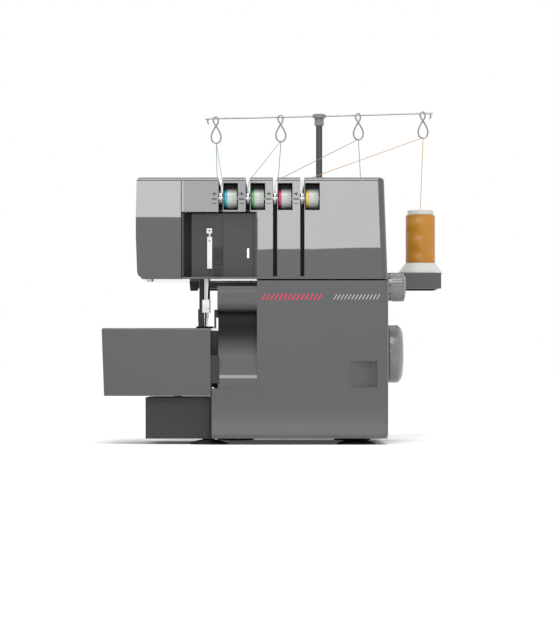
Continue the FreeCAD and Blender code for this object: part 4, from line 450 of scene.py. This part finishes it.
dial_plastic = moulding("DialPlastic", shade(156, 160, 154), 0.3, 0.06, 0.00002, 500.0)
tick_ink = moulding("TickInk", shade(92, 96, 94), 0.5)
BANDS = (("Teal", shade(20, 140, 160)), ("Green", shade(60, 150, 70)), ("Crimson", shade(170, 40, 90)),
         ("Gold", shade(205, 170, 60)))
POST_BORE = 0.0026
BAND_STEP = 0.0008
TICK_IN = 0.0018
BAND_WIDE = 0.0030
BAND_PROUD = 0.00025
TICKS = 24
TICK = (0.0036, 0.00035, 0.0002)
LONG_TICK = 1.7
for count, (colour_name, ring_colour) in enumerate(BANDS, start=1):
    low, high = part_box("tension_dial_%d" % count)
    axis = Vector((low.x, (low.y + high.y) / 2, (low.z + high.z) / 2))
    wide = high.x - low.x
    outer = (high.z - low.z) / 2
    side = outer - BAND_STEP
    drum = [(0, POST_BORE), (0, side - BAND_STEP), (0.001, side), (0.0028, side),
            (0.0032, outer - 0.0001), (0.0036, outer), (wide - 0.0008, outer),
            (wide - 0.0002, outer - 0.0004), (wide, outer - 0.001), (wide, POST_BORE), (0, POST_BORE)]
    body = "dial_%d" % count
    slot_name = "dial_" + colour_name.lower()
    item = turned_ring("TensionDrum%d" % count, drum, axis)
    rest_in(item, dial_plastic, body, ("tension_dial_%d" % count,))
    ring_finish = moulding("Dial%sRing" % colour_name, ring_colour, 0.25, 0.05)
    band = [(0.0002, side - 0.0006), (0.0002, side), (0.0005, side + BAND_PROUD),
            (BAND_WIDE - 0.0003, side + BAND_PROUD), (BAND_WIDE, side), (BAND_WIDE, side - 0.0006)]
    band.append(band[0])
    rest_in(turned_ring("DialBand%d" % count, band, axis), ring_finish, body)
    ticks = []
    for tick in range(TICKS):
        turn = 2 * math.pi * tick / TICKS
        long = LONG_TICK if tick % 4 == 0 else 1.0
        spot = axis + Vector((wide - TICK_IN - TICK[0] * long / 2, 0, 0))
        lift = Matrix.Rotation(turn, 4, "X") @ Matrix.Translation((0, 0, outer))
        ticks.append(Matrix.Translation(spot) @ lift @ Matrix.Diagonal((long, 1, 1, 1)))
    rest_in(bars("DialTicks%d" % count, ticks, TICK), tick_ink, body)

# ---------------------------------------------------------------------------------------------
# Printed marks. Beside each slot a plus, a thick bar and a thin bar show which way to turn the
# dial. They are pad printed in dark grey ink on the arm cover.
# ---------------------------------------------------------------------------------------------
print_ink = moulding("PrintInk", shade(34, 35, 35), 0.5)
INK = 0.00015
front_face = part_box("top_cover")[0].y
dial_axis_up = sum(corner.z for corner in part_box("tension_dial_1")) / 2
MARKS_LEFT = 0.0103
# each printed bar: how far above the dial's axis, its width and its height
MARKS = ((0.0045, 0.0046, 0.0010), (0.0045, 0.0010, 0.0042), (-0.0010, 0.0056, 0.0014),
         (-0.0058, 0.0042, 0.0008))
printed = []
for count in range(1, 5):
    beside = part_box("tension_dial_%d" % count)[0].x - MARKS_LEFT
    for above, wide, high in MARKS:
        spot = Matrix.Translation((beside, front_face, dial_axis_up + above))
        printed.append(spot @ Matrix.Diagonal((wide, INK, high, 1)))
rest_in(bars("TurnMarks", printed, (1, 1, 1)), print_ink, "root")


# ---------------------------------------------------------------------------------------------
# Handwheel and stitch length dial. Both are moulded in a paler grey and pushed on their shafts at
# the right. The wheel has a plain domed rim, the dial is ribbed all round.
# ---------------------------------------------------------------------------------------------
class Pattern(Web):
    """A geometry node tree that repeats one shape, with the sizes it needs as named inputs."""

    KINDS = {int: "NodeSocketInt", float: "NodeSocketFloat", tuple: "NodeSocketVector"}

    def __init__(self, name, **sizes):
        self.tree = bpy.data.node_groups.new(name, "GeometryNodeTree")
        face = self.tree.interface
        face.new_socket("Geometry", in_out="INPUT", socket_type="NodeSocketGeometry")
        face.new_socket("Geometry", in_out="OUTPUT", socket_type="NodeSocketGeometry")
        self.keys = {}
        for size, value in sizes.items():
            socket = face.new_socket(size, in_out="INPUT", socket_type=self.KINDS[type(value)])
            self.keys[size] = (socket.identifier, value)
        self.given = self.tree.nodes.new("NodeGroupInput")
        self.result = self.tree.nodes.new("NodeGroupOutput")

    def size(self, name):
        return Tone(self, self.given.outputs[name])

    def close(self, geometry, finish):
        """Ends the tree: loose copies are made real and take their finish."""
        real = self.add("GeometryNodeRealizeInstances", inputs={"Geometry": geometry})
        painted = self.add("GeometryNodeSetMaterial",
                           inputs={"Geometry": real, "Material": finish.material})
        self.join(self.result.inputs[0], painted)
        return self

    def piece(self, name, **sizes):
        """Runs the tree with some sizes changed, and keeps what it makes as a plain mesh."""
        seed = bpy.data.objects.new(name + "Seed", bpy.data.meshes.new(name + "Seed"))
        bpy.context.scene.collection.objects.link(seed)
        modifier = seed.modifiers.new("Pattern", "NODES")
        modifier.node_group = self.tree
        for size, (key, value) in self.keys.items():
            modifier[key] = sizes.get(size, value)
        bpy.context.view_layer.update()
        drawn = seed.evaluated_get(bpy.context.evaluated_depsgraph_get())
        mesh = bpy.data.meshes.new_from_object(drawn)
        bpy.data.objects.remove(seed)
        mesh.name = name
        shell = bmesh.new()
        shell.from_mesh(mesh)
        bmesh.ops.remove_doubles(shell, verts=shell.verts, dist=0.000001)
        return solid_piece(name, shell, 40.0)


wheel_grey = moulding("WheelGrey", shade(112, 114, 110), 0.34, 0.08, 0.00002, 600.0,
                      Coat_Weight=0.5, Coat_Roughness=0.1)
KNOB_EASE = 0.0003
rest_in(eased("Handwheel", "handwheel", KNOB_EASE), wheel_grey, "drive_shaft",
        ("handwheel",))
rest_in(eased("StitchDial", "stitch_length_dial", KNOB_EASE), wheel_grey, "length_dial",
        ("stitch_length_dial",))

ribs = Pattern("RoundOfRibs", Centre=(0.0, 0.0, 0.0), Reach=0.014, Count=36, Length=0.012, Thick=0.0006)
row = ribs.add("GeometryNodeMeshCircle",
               inputs={"Vertices": ribs.size("Count"), "Radius": ribs.size("Reach")})
rib = ribs.add("GeometryNodeMeshCylinder", {"fill_type": "NGON"},
               {"Vertices": 10, "Side Segments": 1, "Radius": ribs.size("Thick"),
                "Depth": ribs.size("Length")})
spread = ribs.add("GeometryNodeInstanceOnPoints", inputs={"Points": row, "Instance": rib})
stood = ribs.add("GeometryNodeTransform", inputs={"Geometry": spread, "Rotation": (0, math.radians(90), 0),
                                                  "Translation": ribs.size("Centre")})
ribs.close(stood, wheel_grey)

low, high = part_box("stitch_length_dial")
knob_axis = Vector((0, (low.y + high.y) / 2, (low.z + high.z) / 2))
KNOB_GAP = 0.0012
RIB_MIDDLE = 0.0117
knob_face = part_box("rear_cover")[1].x + KNOB_GAP
rib_run = ribs.piece("StitchDialRibs", Centre=(knob_face + RIB_MIDDLE, knob_axis.y, knob_axis.z),
                     Reach=0.01445, Count=30, Length=0.0128, Thick=0.00075)
rest_in(rib_run, wheel_grey, "length_dial")
DOTS = 10
FIRST_DOT = 12
DOT = (0.0019, 0.0019, 0.0003)
DOT_EASE = 0.0001
DOT_IN = 0.0026
DOT_REACH = 0.0147
dots = []
for step in range(DOTS):
    turn = Matrix.Rotation(math.radians(360 / DOTS * step + FIRST_DOT), 4, "X")
    dots.append(Matrix.Translation((knob_face + DOT_IN, *knob_axis.yz)) @ turn
                @ Matrix.Translation((0, 0, DOT_REACH)))
rest_in(bars("StitchDialDots", dots, DOT, DOT_EASE), print_ink, "length_dial")

# ---------------------------------------------------------------------------------------------
# Thread stand. A grey moulded tray behind the column carries four white spools of thread on pins,
# and a telescoping steel mast with a grey cap holds the wire guide bar above them.
# ---------------------------------------------------------------------------------------------
rest_in(eased("SpoolTray", "spool_tray", EASE), casing_grey, "root", ("spool_tray",))
spool_white = moulding("SpoolWhite", shade(186, 188, 184), 0.32, 0.06, 0.00002, 400.0,
                       Subsurface_Weight=0.05)
skin("spools", spool_white)
mast_satin = ground_steel("MastSatin", shade(82, 90, 90), 0.34, (0.05, 0.05, 1.0))
for node_name in ("mast", "mast_tube", "spool_pins"):
    skin(node_name, mast_satin)
cap_grey = moulding("CapGrey", shade(112, 115, 114), 0.4, 0.08)
CAP_EASE = 0.0004
rest_in(eased("MastCap", "mast_cap", CAP_EASE), cap_grey, "raised_mast", ("mast_cap",))


def strand(name, path, thick, sides=8):
    """A round wire or thread swept along a path, with its cross-section kept from twisting."""
    path = [Vector(point) for point in path]
    shell = bmesh.new()
    rings = []
    side = None
    for index, point in enumerate(path):
        before = path[max(index - 1, 0)]
        after = path[min(index + 1, len(path) - 1)]
        ahead = (after - before).normalized()
        if side is None:
            side = ahead.orthogonal().normalized()
        side = (side - ahead * side.dot(ahead)).normalized()
        other = ahead.cross(side)
        ring = []
        for step in range(sides):
            turn = 2 * math.pi * step / sides
            ring.append(shell.verts.new(point + (side * math.cos(turn) + other * math.sin(turn)) * thick))
        rings.append(ring)
    for low_ring, high_ring in zip(rings, rings[1:]):
        for step in range(sides):
            after = (step + 1) % sides
            shell.faces.new((low_ring[step], low_ring[after], high_ring[after], high_ring[step]))
    shell.faces.new(rings[0][::-1])
    shell.faces.new(rings[-1])
    return solid_piece(name, shell, 60.0)


def flowing(points, steps=8):
    """A smooth path through points."""
    points = [Vector(point) for point in points]
    ends = [points[0] * 2 - points[1]] + points + [points[-1] * 2 - points[-2]]
    path = []
    for first, start, end, last in zip(ends, ends[1:], ends[2:], ends[3:]):
        for step in range(steps):
            share = step / steps
            pull = (end - first) * 0.5
            leave = (last - start) * 0.5
            square, cube = share ** 2, share ** 3
            path.append(start * (2 * cube - 3 * square + 1) + pull * (cube - 2 * square + share)
                        + end * (3 * square - 2 * cube) + leave * (cube - square))
    return path + [points[-1]]


WIRE = 0.0009
BAR_HALF = 0.126
BAR_TILT = math.radians(1.4)
HOOKS_AT = (-0.120, -0.045, 0.045, 0.120)
PINS_AT = (-0.1174, -0.050, 0.050, 0.1174)
HOOK_BOTTOM = -0.0285
BAR_IN_CAP = 0.011
mast_low, mast_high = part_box("mast")
mast_x = (mast_low.x + mast_high.x) / 2
stand_y = (mast_low.y + mast_high.y) / 2
bar_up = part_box("mast_cap")[0].z + BAR_IN_CAP
tilted = (Matrix.Translation((mast_x, stand_y, bar_up)) @ Matrix.Rotation(-BAR_TILT, 4, "Y"))
CURL = ((0.0016, 0.0002), (0.0034, -0.0007), (0.0044, -0.0026), (0.0041, -0.0046), (0.0028, -0.0060))
left_curl = [(-BAR_HALF + 0.001 - out, 0, up) for out, up in CURL[::-1]]
right_curl = [(BAR_HALF - 0.001 + out, 0, up) for out, up in CURL]
rail = flowing(left_curl + [(-0.06, 0, 0), (0.06, 0, 0)] + right_curl, 6)
wire_steel = ground_steel("WireSteel", shade(150, 152, 150), 0.26, (0.1, 1.0, 1.0))
rest_in(strand("GuideRail", [tilted @ point for point in rail], WIRE, 12), wire_steel, "raised_mast",
        ("guide_bar",))
# A hook is one wire: a small eye round the bar, crossed below it, and a long tear-shaped loop.
HOOK = ((0.0026, 0.0008, -0.0044), (0.0029, 0.0003, -0.0012), (0.0016, 0, 0.0017), (-0.0012, 0, 0.0019),
        (-0.0029, -0.0004, -0.0010), (-0.0018, -0.0009, -0.0052), (0.0012, -0.0010, -0.0102),
        (0.0046, -0.0004, -0.0166), (0.0056, 0, -0.0215), (0.0042, 0, -0.0262), (0, 0, HOOK_BOTTOM),
        (-0.0042, 0, -0.0262), (-0.0056, 0, -0.0215), (-0.0046, 0.0004, -0.0166),
        (-0.0012, 0.0010, -0.0102), (0.0018, 0.0009, -0.0060), (0.0026, 0.0008, -0.0044))
for count, away in enumerate(HOOKS_AT, start=1):
    bent = [tilted @ Matrix.Translation((away, 0, 0)) @ point for point in flowing(HOOK, 7)]
    rest_in(strand("ThreadHook%d" % count, bent, WIRE, 10), wire_steel, "raised_mast")

# ---------------------------------------------------------------------------------------------
# Thread. Each spool is wound edge to edge with polyester thread in its dial's colour. From each
# spool one strand rises through its hook and comes down to the slot of its tension unit.
# ---------------------------------------------------------------------------------------------
THREAD_COLOURS = (("Teal", shade(78, 128, 128)), ("Green", shade(96, 112, 100)),
                  ("Crimson", shade(150, 70, 84)), ("Gold", shade(182, 124, 14)))
THREAD = 0.00035
wound_low, wound_high = (corner.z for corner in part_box("thread_windings"))
WOUND = 0.0170
CORE = 0.0072
PITCH = 0.00062


def polyester(name, colour, twist):
    """Lustrous spun thread: a satin sheen over fine twisted filaments."""
    finish = Finish(name, Sheen_Weight=0.25, Sheen_Roughness=0.3, Specular_IOR_Level=0.6)
    fibre = finish.grain(2400.0, 2.0, twist)
    patch = finish.grain(90.0, 2.0)
    pale = tuple(min(1.0, 1.18 * level + 0.01) for level in colour[:3]) + (1.0,)
    finish.give(Base_Color=finish.between(fibre * 0.65 + patch * 0.35, scaled(colour, 0.72), pale))
    finish.give(Roughness=fibre * 0.2 + 0.32)
    return finish.relief(fibre, 0.00005)


winding = Pattern("CrossWound", Foot=(0.0, 0.0, 0.0), Reach=0.017, Height=0.055, Turns=88.0, Thick=0.00034)
spiral = winding.add("GeometryNodeCurveSpiral", inputs={
    "Resolution": 40, "Rotations": winding.size("Turns"), "Start Radius": winding.size("Reach"),
    "End Radius": winding.size("Reach"), "Height": winding.size("Height")})
round_wire = winding.add("GeometryNodeCurvePrimitiveCircle", {"mode": "RADIUS"},
                         {"Resolution": 5, "Radius": winding.size("Thick")})
coil = winding.add("GeometryNodeCurveToMesh", inputs={"Curve": spiral, "Profile Curve": round_wire,
                                                      "Fill Caps": True})
set_down = winding.add("GeometryNodeTransform",
                       inputs={"Geometry": coil, "Translation": winding.size("Foot")})

SLOT_FROM_DIAL = 0.0037
MOUTH_ABOVE = 0.0014
MOUTH_BACK = 0.080
SPOOL_CLEAR = 0.0004
# how a thread bends into and out of its hook, and over the edge of its slot
INTO_EYE = Vector((0, 0.0012, -0.0012))
OUT_SHARE = 0.01
OUT_OF_EYE = (-0.0014, -0.0010)
OVER_EDGE = 0.004
UNDER_EDGE = 0.0012
# where it enters and leaves the tension discs: behind the front, and above the dial's axis
NIP = ((0.0156, 0.0124), (0.0136, 0.005))
slot_lefts = [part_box("tension_dial_%d" % count)[0].x - SLOT_FROM_DIAL for count in range(1, 5)]
mouth_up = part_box("top_cover")[1].z + MOUTH_ABOVE
mouth_y = front_face + MOUTH_BACK
spool_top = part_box("spools")[1].z + SPOOL_CLEAR
stands_for_wound = ("thread_windings",)
stands_for_thread = ("threads",)
for count, ((colour_name, colour), pin, hook, slot_x) in enumerate(
        zip(THREAD_COLOURS, PINS_AT, HOOKS_AT, slot_lefts), start=1):
    wound_finish = polyester("Wound" + colour_name, colour, (1.0, 1.0, 3.0))
    centre = Vector((mast_x + pin, stand_y, 0))
    winding.close(set_down, wound_finish)
    lay = winding.piece("Winding%d" % count, Foot=(centre.x, centre.y, wound_low + PITCH / 2),
                        Reach=WOUND - 0.0002, Height=wound_high - wound_low - PITCH,
                        Turns=(wound_high - wound_low) / PITCH)
    rest_in(lay, wound_finish, "root", stands_for_wound)
    stands_for_wound = ()
    fill = [(wound_low, CORE), (wound_low, WOUND - 0.0006), (wound_low + 0.001, WOUND - 0.0001),
            (wound_high - 0.002, WOUND - 0.0001), (wound_high, WOUND - 0.0012), (wound_high, CORE),
            (wound_low, CORE)]
    rest_in(turned_ring("WoundCore%d" % count, fill, centre, "Z", 72), wound_finish, "root")
    eye = tilted @ Vector((hook, 0, HOOK_BOTTOM + WIRE + THREAD))
    rise = [Vector((centre.x, stand_y, spool_top)), eye + INTO_EYE, eye,
            eye + Vector(((slot_x - eye.x) * OUT_SHARE, *OUT_OF_EYE))]
    fall = [Vector((slot_x, mouth_y, mouth_up)),
            Vector((slot_x, mouth_y - OVER_EDGE, mouth_up - UNDER_EDGE))]
    fall += [Vector((slot_x, front_face + back, dial_axis_up + above)) for back, above in NIP]
    run = strand("Thread%s" % colour_name, rise + fall, THREAD, 8)
    rest_in(run, polyester("Strand" + colour_name, colour, (1.0, 1.0, 0.4)), "root")
    if stands_for_thread:
        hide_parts(*stands_for_thread)
        stands_for_thread = ()
    run.parent = None
    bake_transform(run)

# ---------------------------------------------------------------------------------------------
# Chute cheek. A black plastic strip closes the gap between the looper cover and the cloth plate,
# with a thicker cheek beside the chip chute. It is clipped to the left edge of the looper cover.
# ---------------------------------------------------------------------------------------------
plate_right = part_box("cloth_plate")[1].x
CHUTE_SIDE = -0.0656
FLANGE_RIGHT = -0.0640
CHEEK_LOW = 0.0655
CHEEK_HIGH = 0.0950
STRIP_LOW = 0.0610
STRIP_HIGH = 0.1210
LIP_LOW = 0.0080
LIP_WIDE = 0.0011
strip_near = cover_high.y - 0.0014
strip_far = cover_high.y - 0.0006
# each bar of the strip and cheek: left, right, near, far, low and high
cheek = ((plate_right, CHUTE_SIDE, strip_near, strip_far, STRIP_LOW, STRIP_HIGH),
         (plate_right, CHUTE_SIDE, cover_low.y + 0.0007, strip_near, CHEEK_LOW, CHEEK_HIGH),
         (plate_right, plate_right + LIP_WIDE, cover_low.y + 0.003, strip_near, LIP_LOW, CHEEK_LOW),
         (CHUTE_SIDE, FLANGE_RIGHT, cover_low.y + 0.0004, cover_low.y + 0.0011, CHEEK_LOW, CHEEK_HIGH))
cheek_bars = []
for left, right, near, far, low, high in cheek:
    middle = Matrix.Translation(((left + right) / 2, (near + far) / 2, (low + high) / 2))
    cheek_bars.append(middle @ Matrix.Diagonal((right - left, far - near, high - low, 1)))
rest_in(bars("ChuteCheek", cheek_bars, (1, 1, 1)), liner_black, "front_cover")

# ---------------------------------------------------------------------------------------------
# Stitch marks. A printed row of slanted stitches, crimson and then pale, decorates the top of the
# looper cover. It is thin pad printed ink.
# ---------------------------------------------------------------------------------------------
stitch_row = Pattern("RowOfStitches", Start=(0.0, 0.0, 0.0), Stride=0.004, Count=12, Long=0.005,
                     Thick=0.001)
stride = stitch_row.add("ShaderNodeCombineXYZ", inputs={0: stitch_row.size("Stride")})
line = stitch_row.add("GeometryNodeMeshLine", {"mode": "OFFSET"},
                      {"Count": stitch_row.size("Count"), "Start Location": stitch_row.size("Start"),
                       "Offset": stride})
stitch_size = stitch_row.add("ShaderNodeCombineXYZ", inputs={0: stitch_row.size("Thick"), 1: INK,
                                                             2: stitch_row.size("Long")})
stitch = stitch_row.add("GeometryNodeMeshCube", inputs={"Size": stitch_size})
LEAN = math.radians(32)
rows = stitch_row.add("GeometryNodeInstanceOnPoints",
                      inputs={"Points": line, "Instance": stitch, "Rotation": (0, LEAN, 0)})
crimson_ink = moulding("CrimsonInk", shade(176, 20, 58), 0.4)
pale_ink = moulding("PaleInk", shade(176, 178, 178), 0.4)
STITCH_UP = 0.1570
CRIMSON_FROM = -0.0170
PALE_FROM = 0.0590
stitch_row.close(rows, crimson_ink)
crimson_stitches = stitch_row.piece("CrimsonStitches", Start=(CRIMSON_FROM, cover_low.y, STITCH_UP),
                                    Stride=0.0046, Count=14, Long=0.0078, Thick=0.0014)
rest_in(crimson_stitches, crimson_ink, "front_cover")
pale_stitches = stitch_row.piece("PaleStitches", Start=(PALE_FROM, cover_low.y, STITCH_UP),
                                 Stride=0.0038, Count=13, Long=0.0062, Thick=0.0006)
rest_in(pale_stitches, pale_ink, "front_cover")

# ---------------------------------------------------------------------------------------------
# Studio. The machine stands on a white sweep before tall softboxes, whose lower edges show as
# sharp lines in its glossy front. It is seen level from the front, from the height of its bed.
# ---------------------------------------------------------------------------------------------
FRONT = front_face
EYE = Vector((-0.0017, FRONT - 2.6, 0.088))
BOX_AWAY = 0.9
FLOOR_HALF = 60
FLOOR_WHITE = (0.95, 0.95, 0.95, 1)
FLOOR_GLOW = 0.06
TOP_BOX_AT = (-0.03, -0.72, 1.1)
TOP_BOX_WIDE = 0.6
TOP_BOX_DEEP = 0.9
TOP_BOX_BRIGHT = 7.0
LENS = 158.8
LENS_RISE = 0.0845
bpy.context.scene.view_settings.view_transform = "Standard"

world = bpy.data.worlds.new("WhiteRoom")
world.use_nodes = True
world.node_tree.nodes["Background"].inputs["Color"].default_value = (1, 1, 1, 1)
world.node_tree.nodes["Background"].inputs["Strength"].default_value = 1.0
bpy.context.scene.world = world

floor_paint = Finish("FloorWhite", Base_Color=FLOOR_WHITE, Roughness=0.7, Specular_IOR_Level=0.0,
                     Emission_Color=(1, 1, 1, 1), Emission_Strength=FLOOR_GLOW)
floor_mesh = bpy.data.meshes.new("Floor")
floor_corners = [(across * FLOOR_HALF, along * FLOOR_HALF, 0)
                 for across, along in ((-1, -1), (1, -1), (1, 1), (-1, 1))]
floor_mesh.from_pydata(floor_corners, [], [(0, 1, 2, 3)])
floor = bpy.data.objects.new("Floor", floor_mesh)
floor.data.materials.append(floor_paint.material)
bpy.context.scene.collection.objects.link(floor)


def softbox(name, at, turn, wide, high, brightness):
    """A rectangular lamp of an even brightness, seen in gloss but not by the camera."""
    lamp = bpy.data.lights.new(name, "AREA")
    lamp.shape = "RECTANGLE"
    lamp.size = wide
    lamp.size_y = high
    lamp.energy = brightness * math.pi * wide * high
    item = bpy.data.objects.new(name, lamp)
    item.location = at
    item.rotation_euler = turn
    item.visible_camera = False
    bpy.context.scene.collection.objects.link(item)


def mirrored(across, up):
    """Where a point of the machine's front sees the softboxes' plane, as a mirror would."""
    share = BOX_AWAY / (FRONT - EYE.y)
    return across + (across - EYE.x) * share, up + (up - EYE.z) * share


# Each front softbox lights one stretch of the front above its own line.
FRONT_BOXES = (("LeftBox", -0.165, -0.1045, 0.2417, 8.4),
               ("MiddleBox", -0.1045, -0.0240, 0.2417, 5.2),
               ("RightBox", -0.0240, 0.1300, 0.2078, 7.6))
TOP_LINE = 0.300
for name, left, right, line, brightness in FRONT_BOXES:
    box_left, low = mirrored(left, line)
    box_right, high = mirrored(right, TOP_LINE)
    softbox(name, ((box_left + box_right) / 2, FRONT - BOX_AWAY, (low + high) / 2),
            (math.radians(90), 0, 0), box_right - box_left, high - low, brightness)
softbox("TopBox", TOP_BOX_AT, (0, 0, 0), TOP_BOX_WIDE, TOP_BOX_DEEP, TOP_BOX_BRIGHT)

lens = bpy.data.cameras.new("Camera")
lens.sensor_fit = "HORIZONTAL"
lens.sensor_width = 36.0
lens.lens = LENS
lens.shift_y = LENS_RISE
camera = bpy.data.objects.new("Camera", lens)
camera.location = EYE
camera.rotation_euler = (math.radians(90), 0, 0)
bpy.context.scene.collection.objects.link(camera)
bpy.context.scene.camera = camera
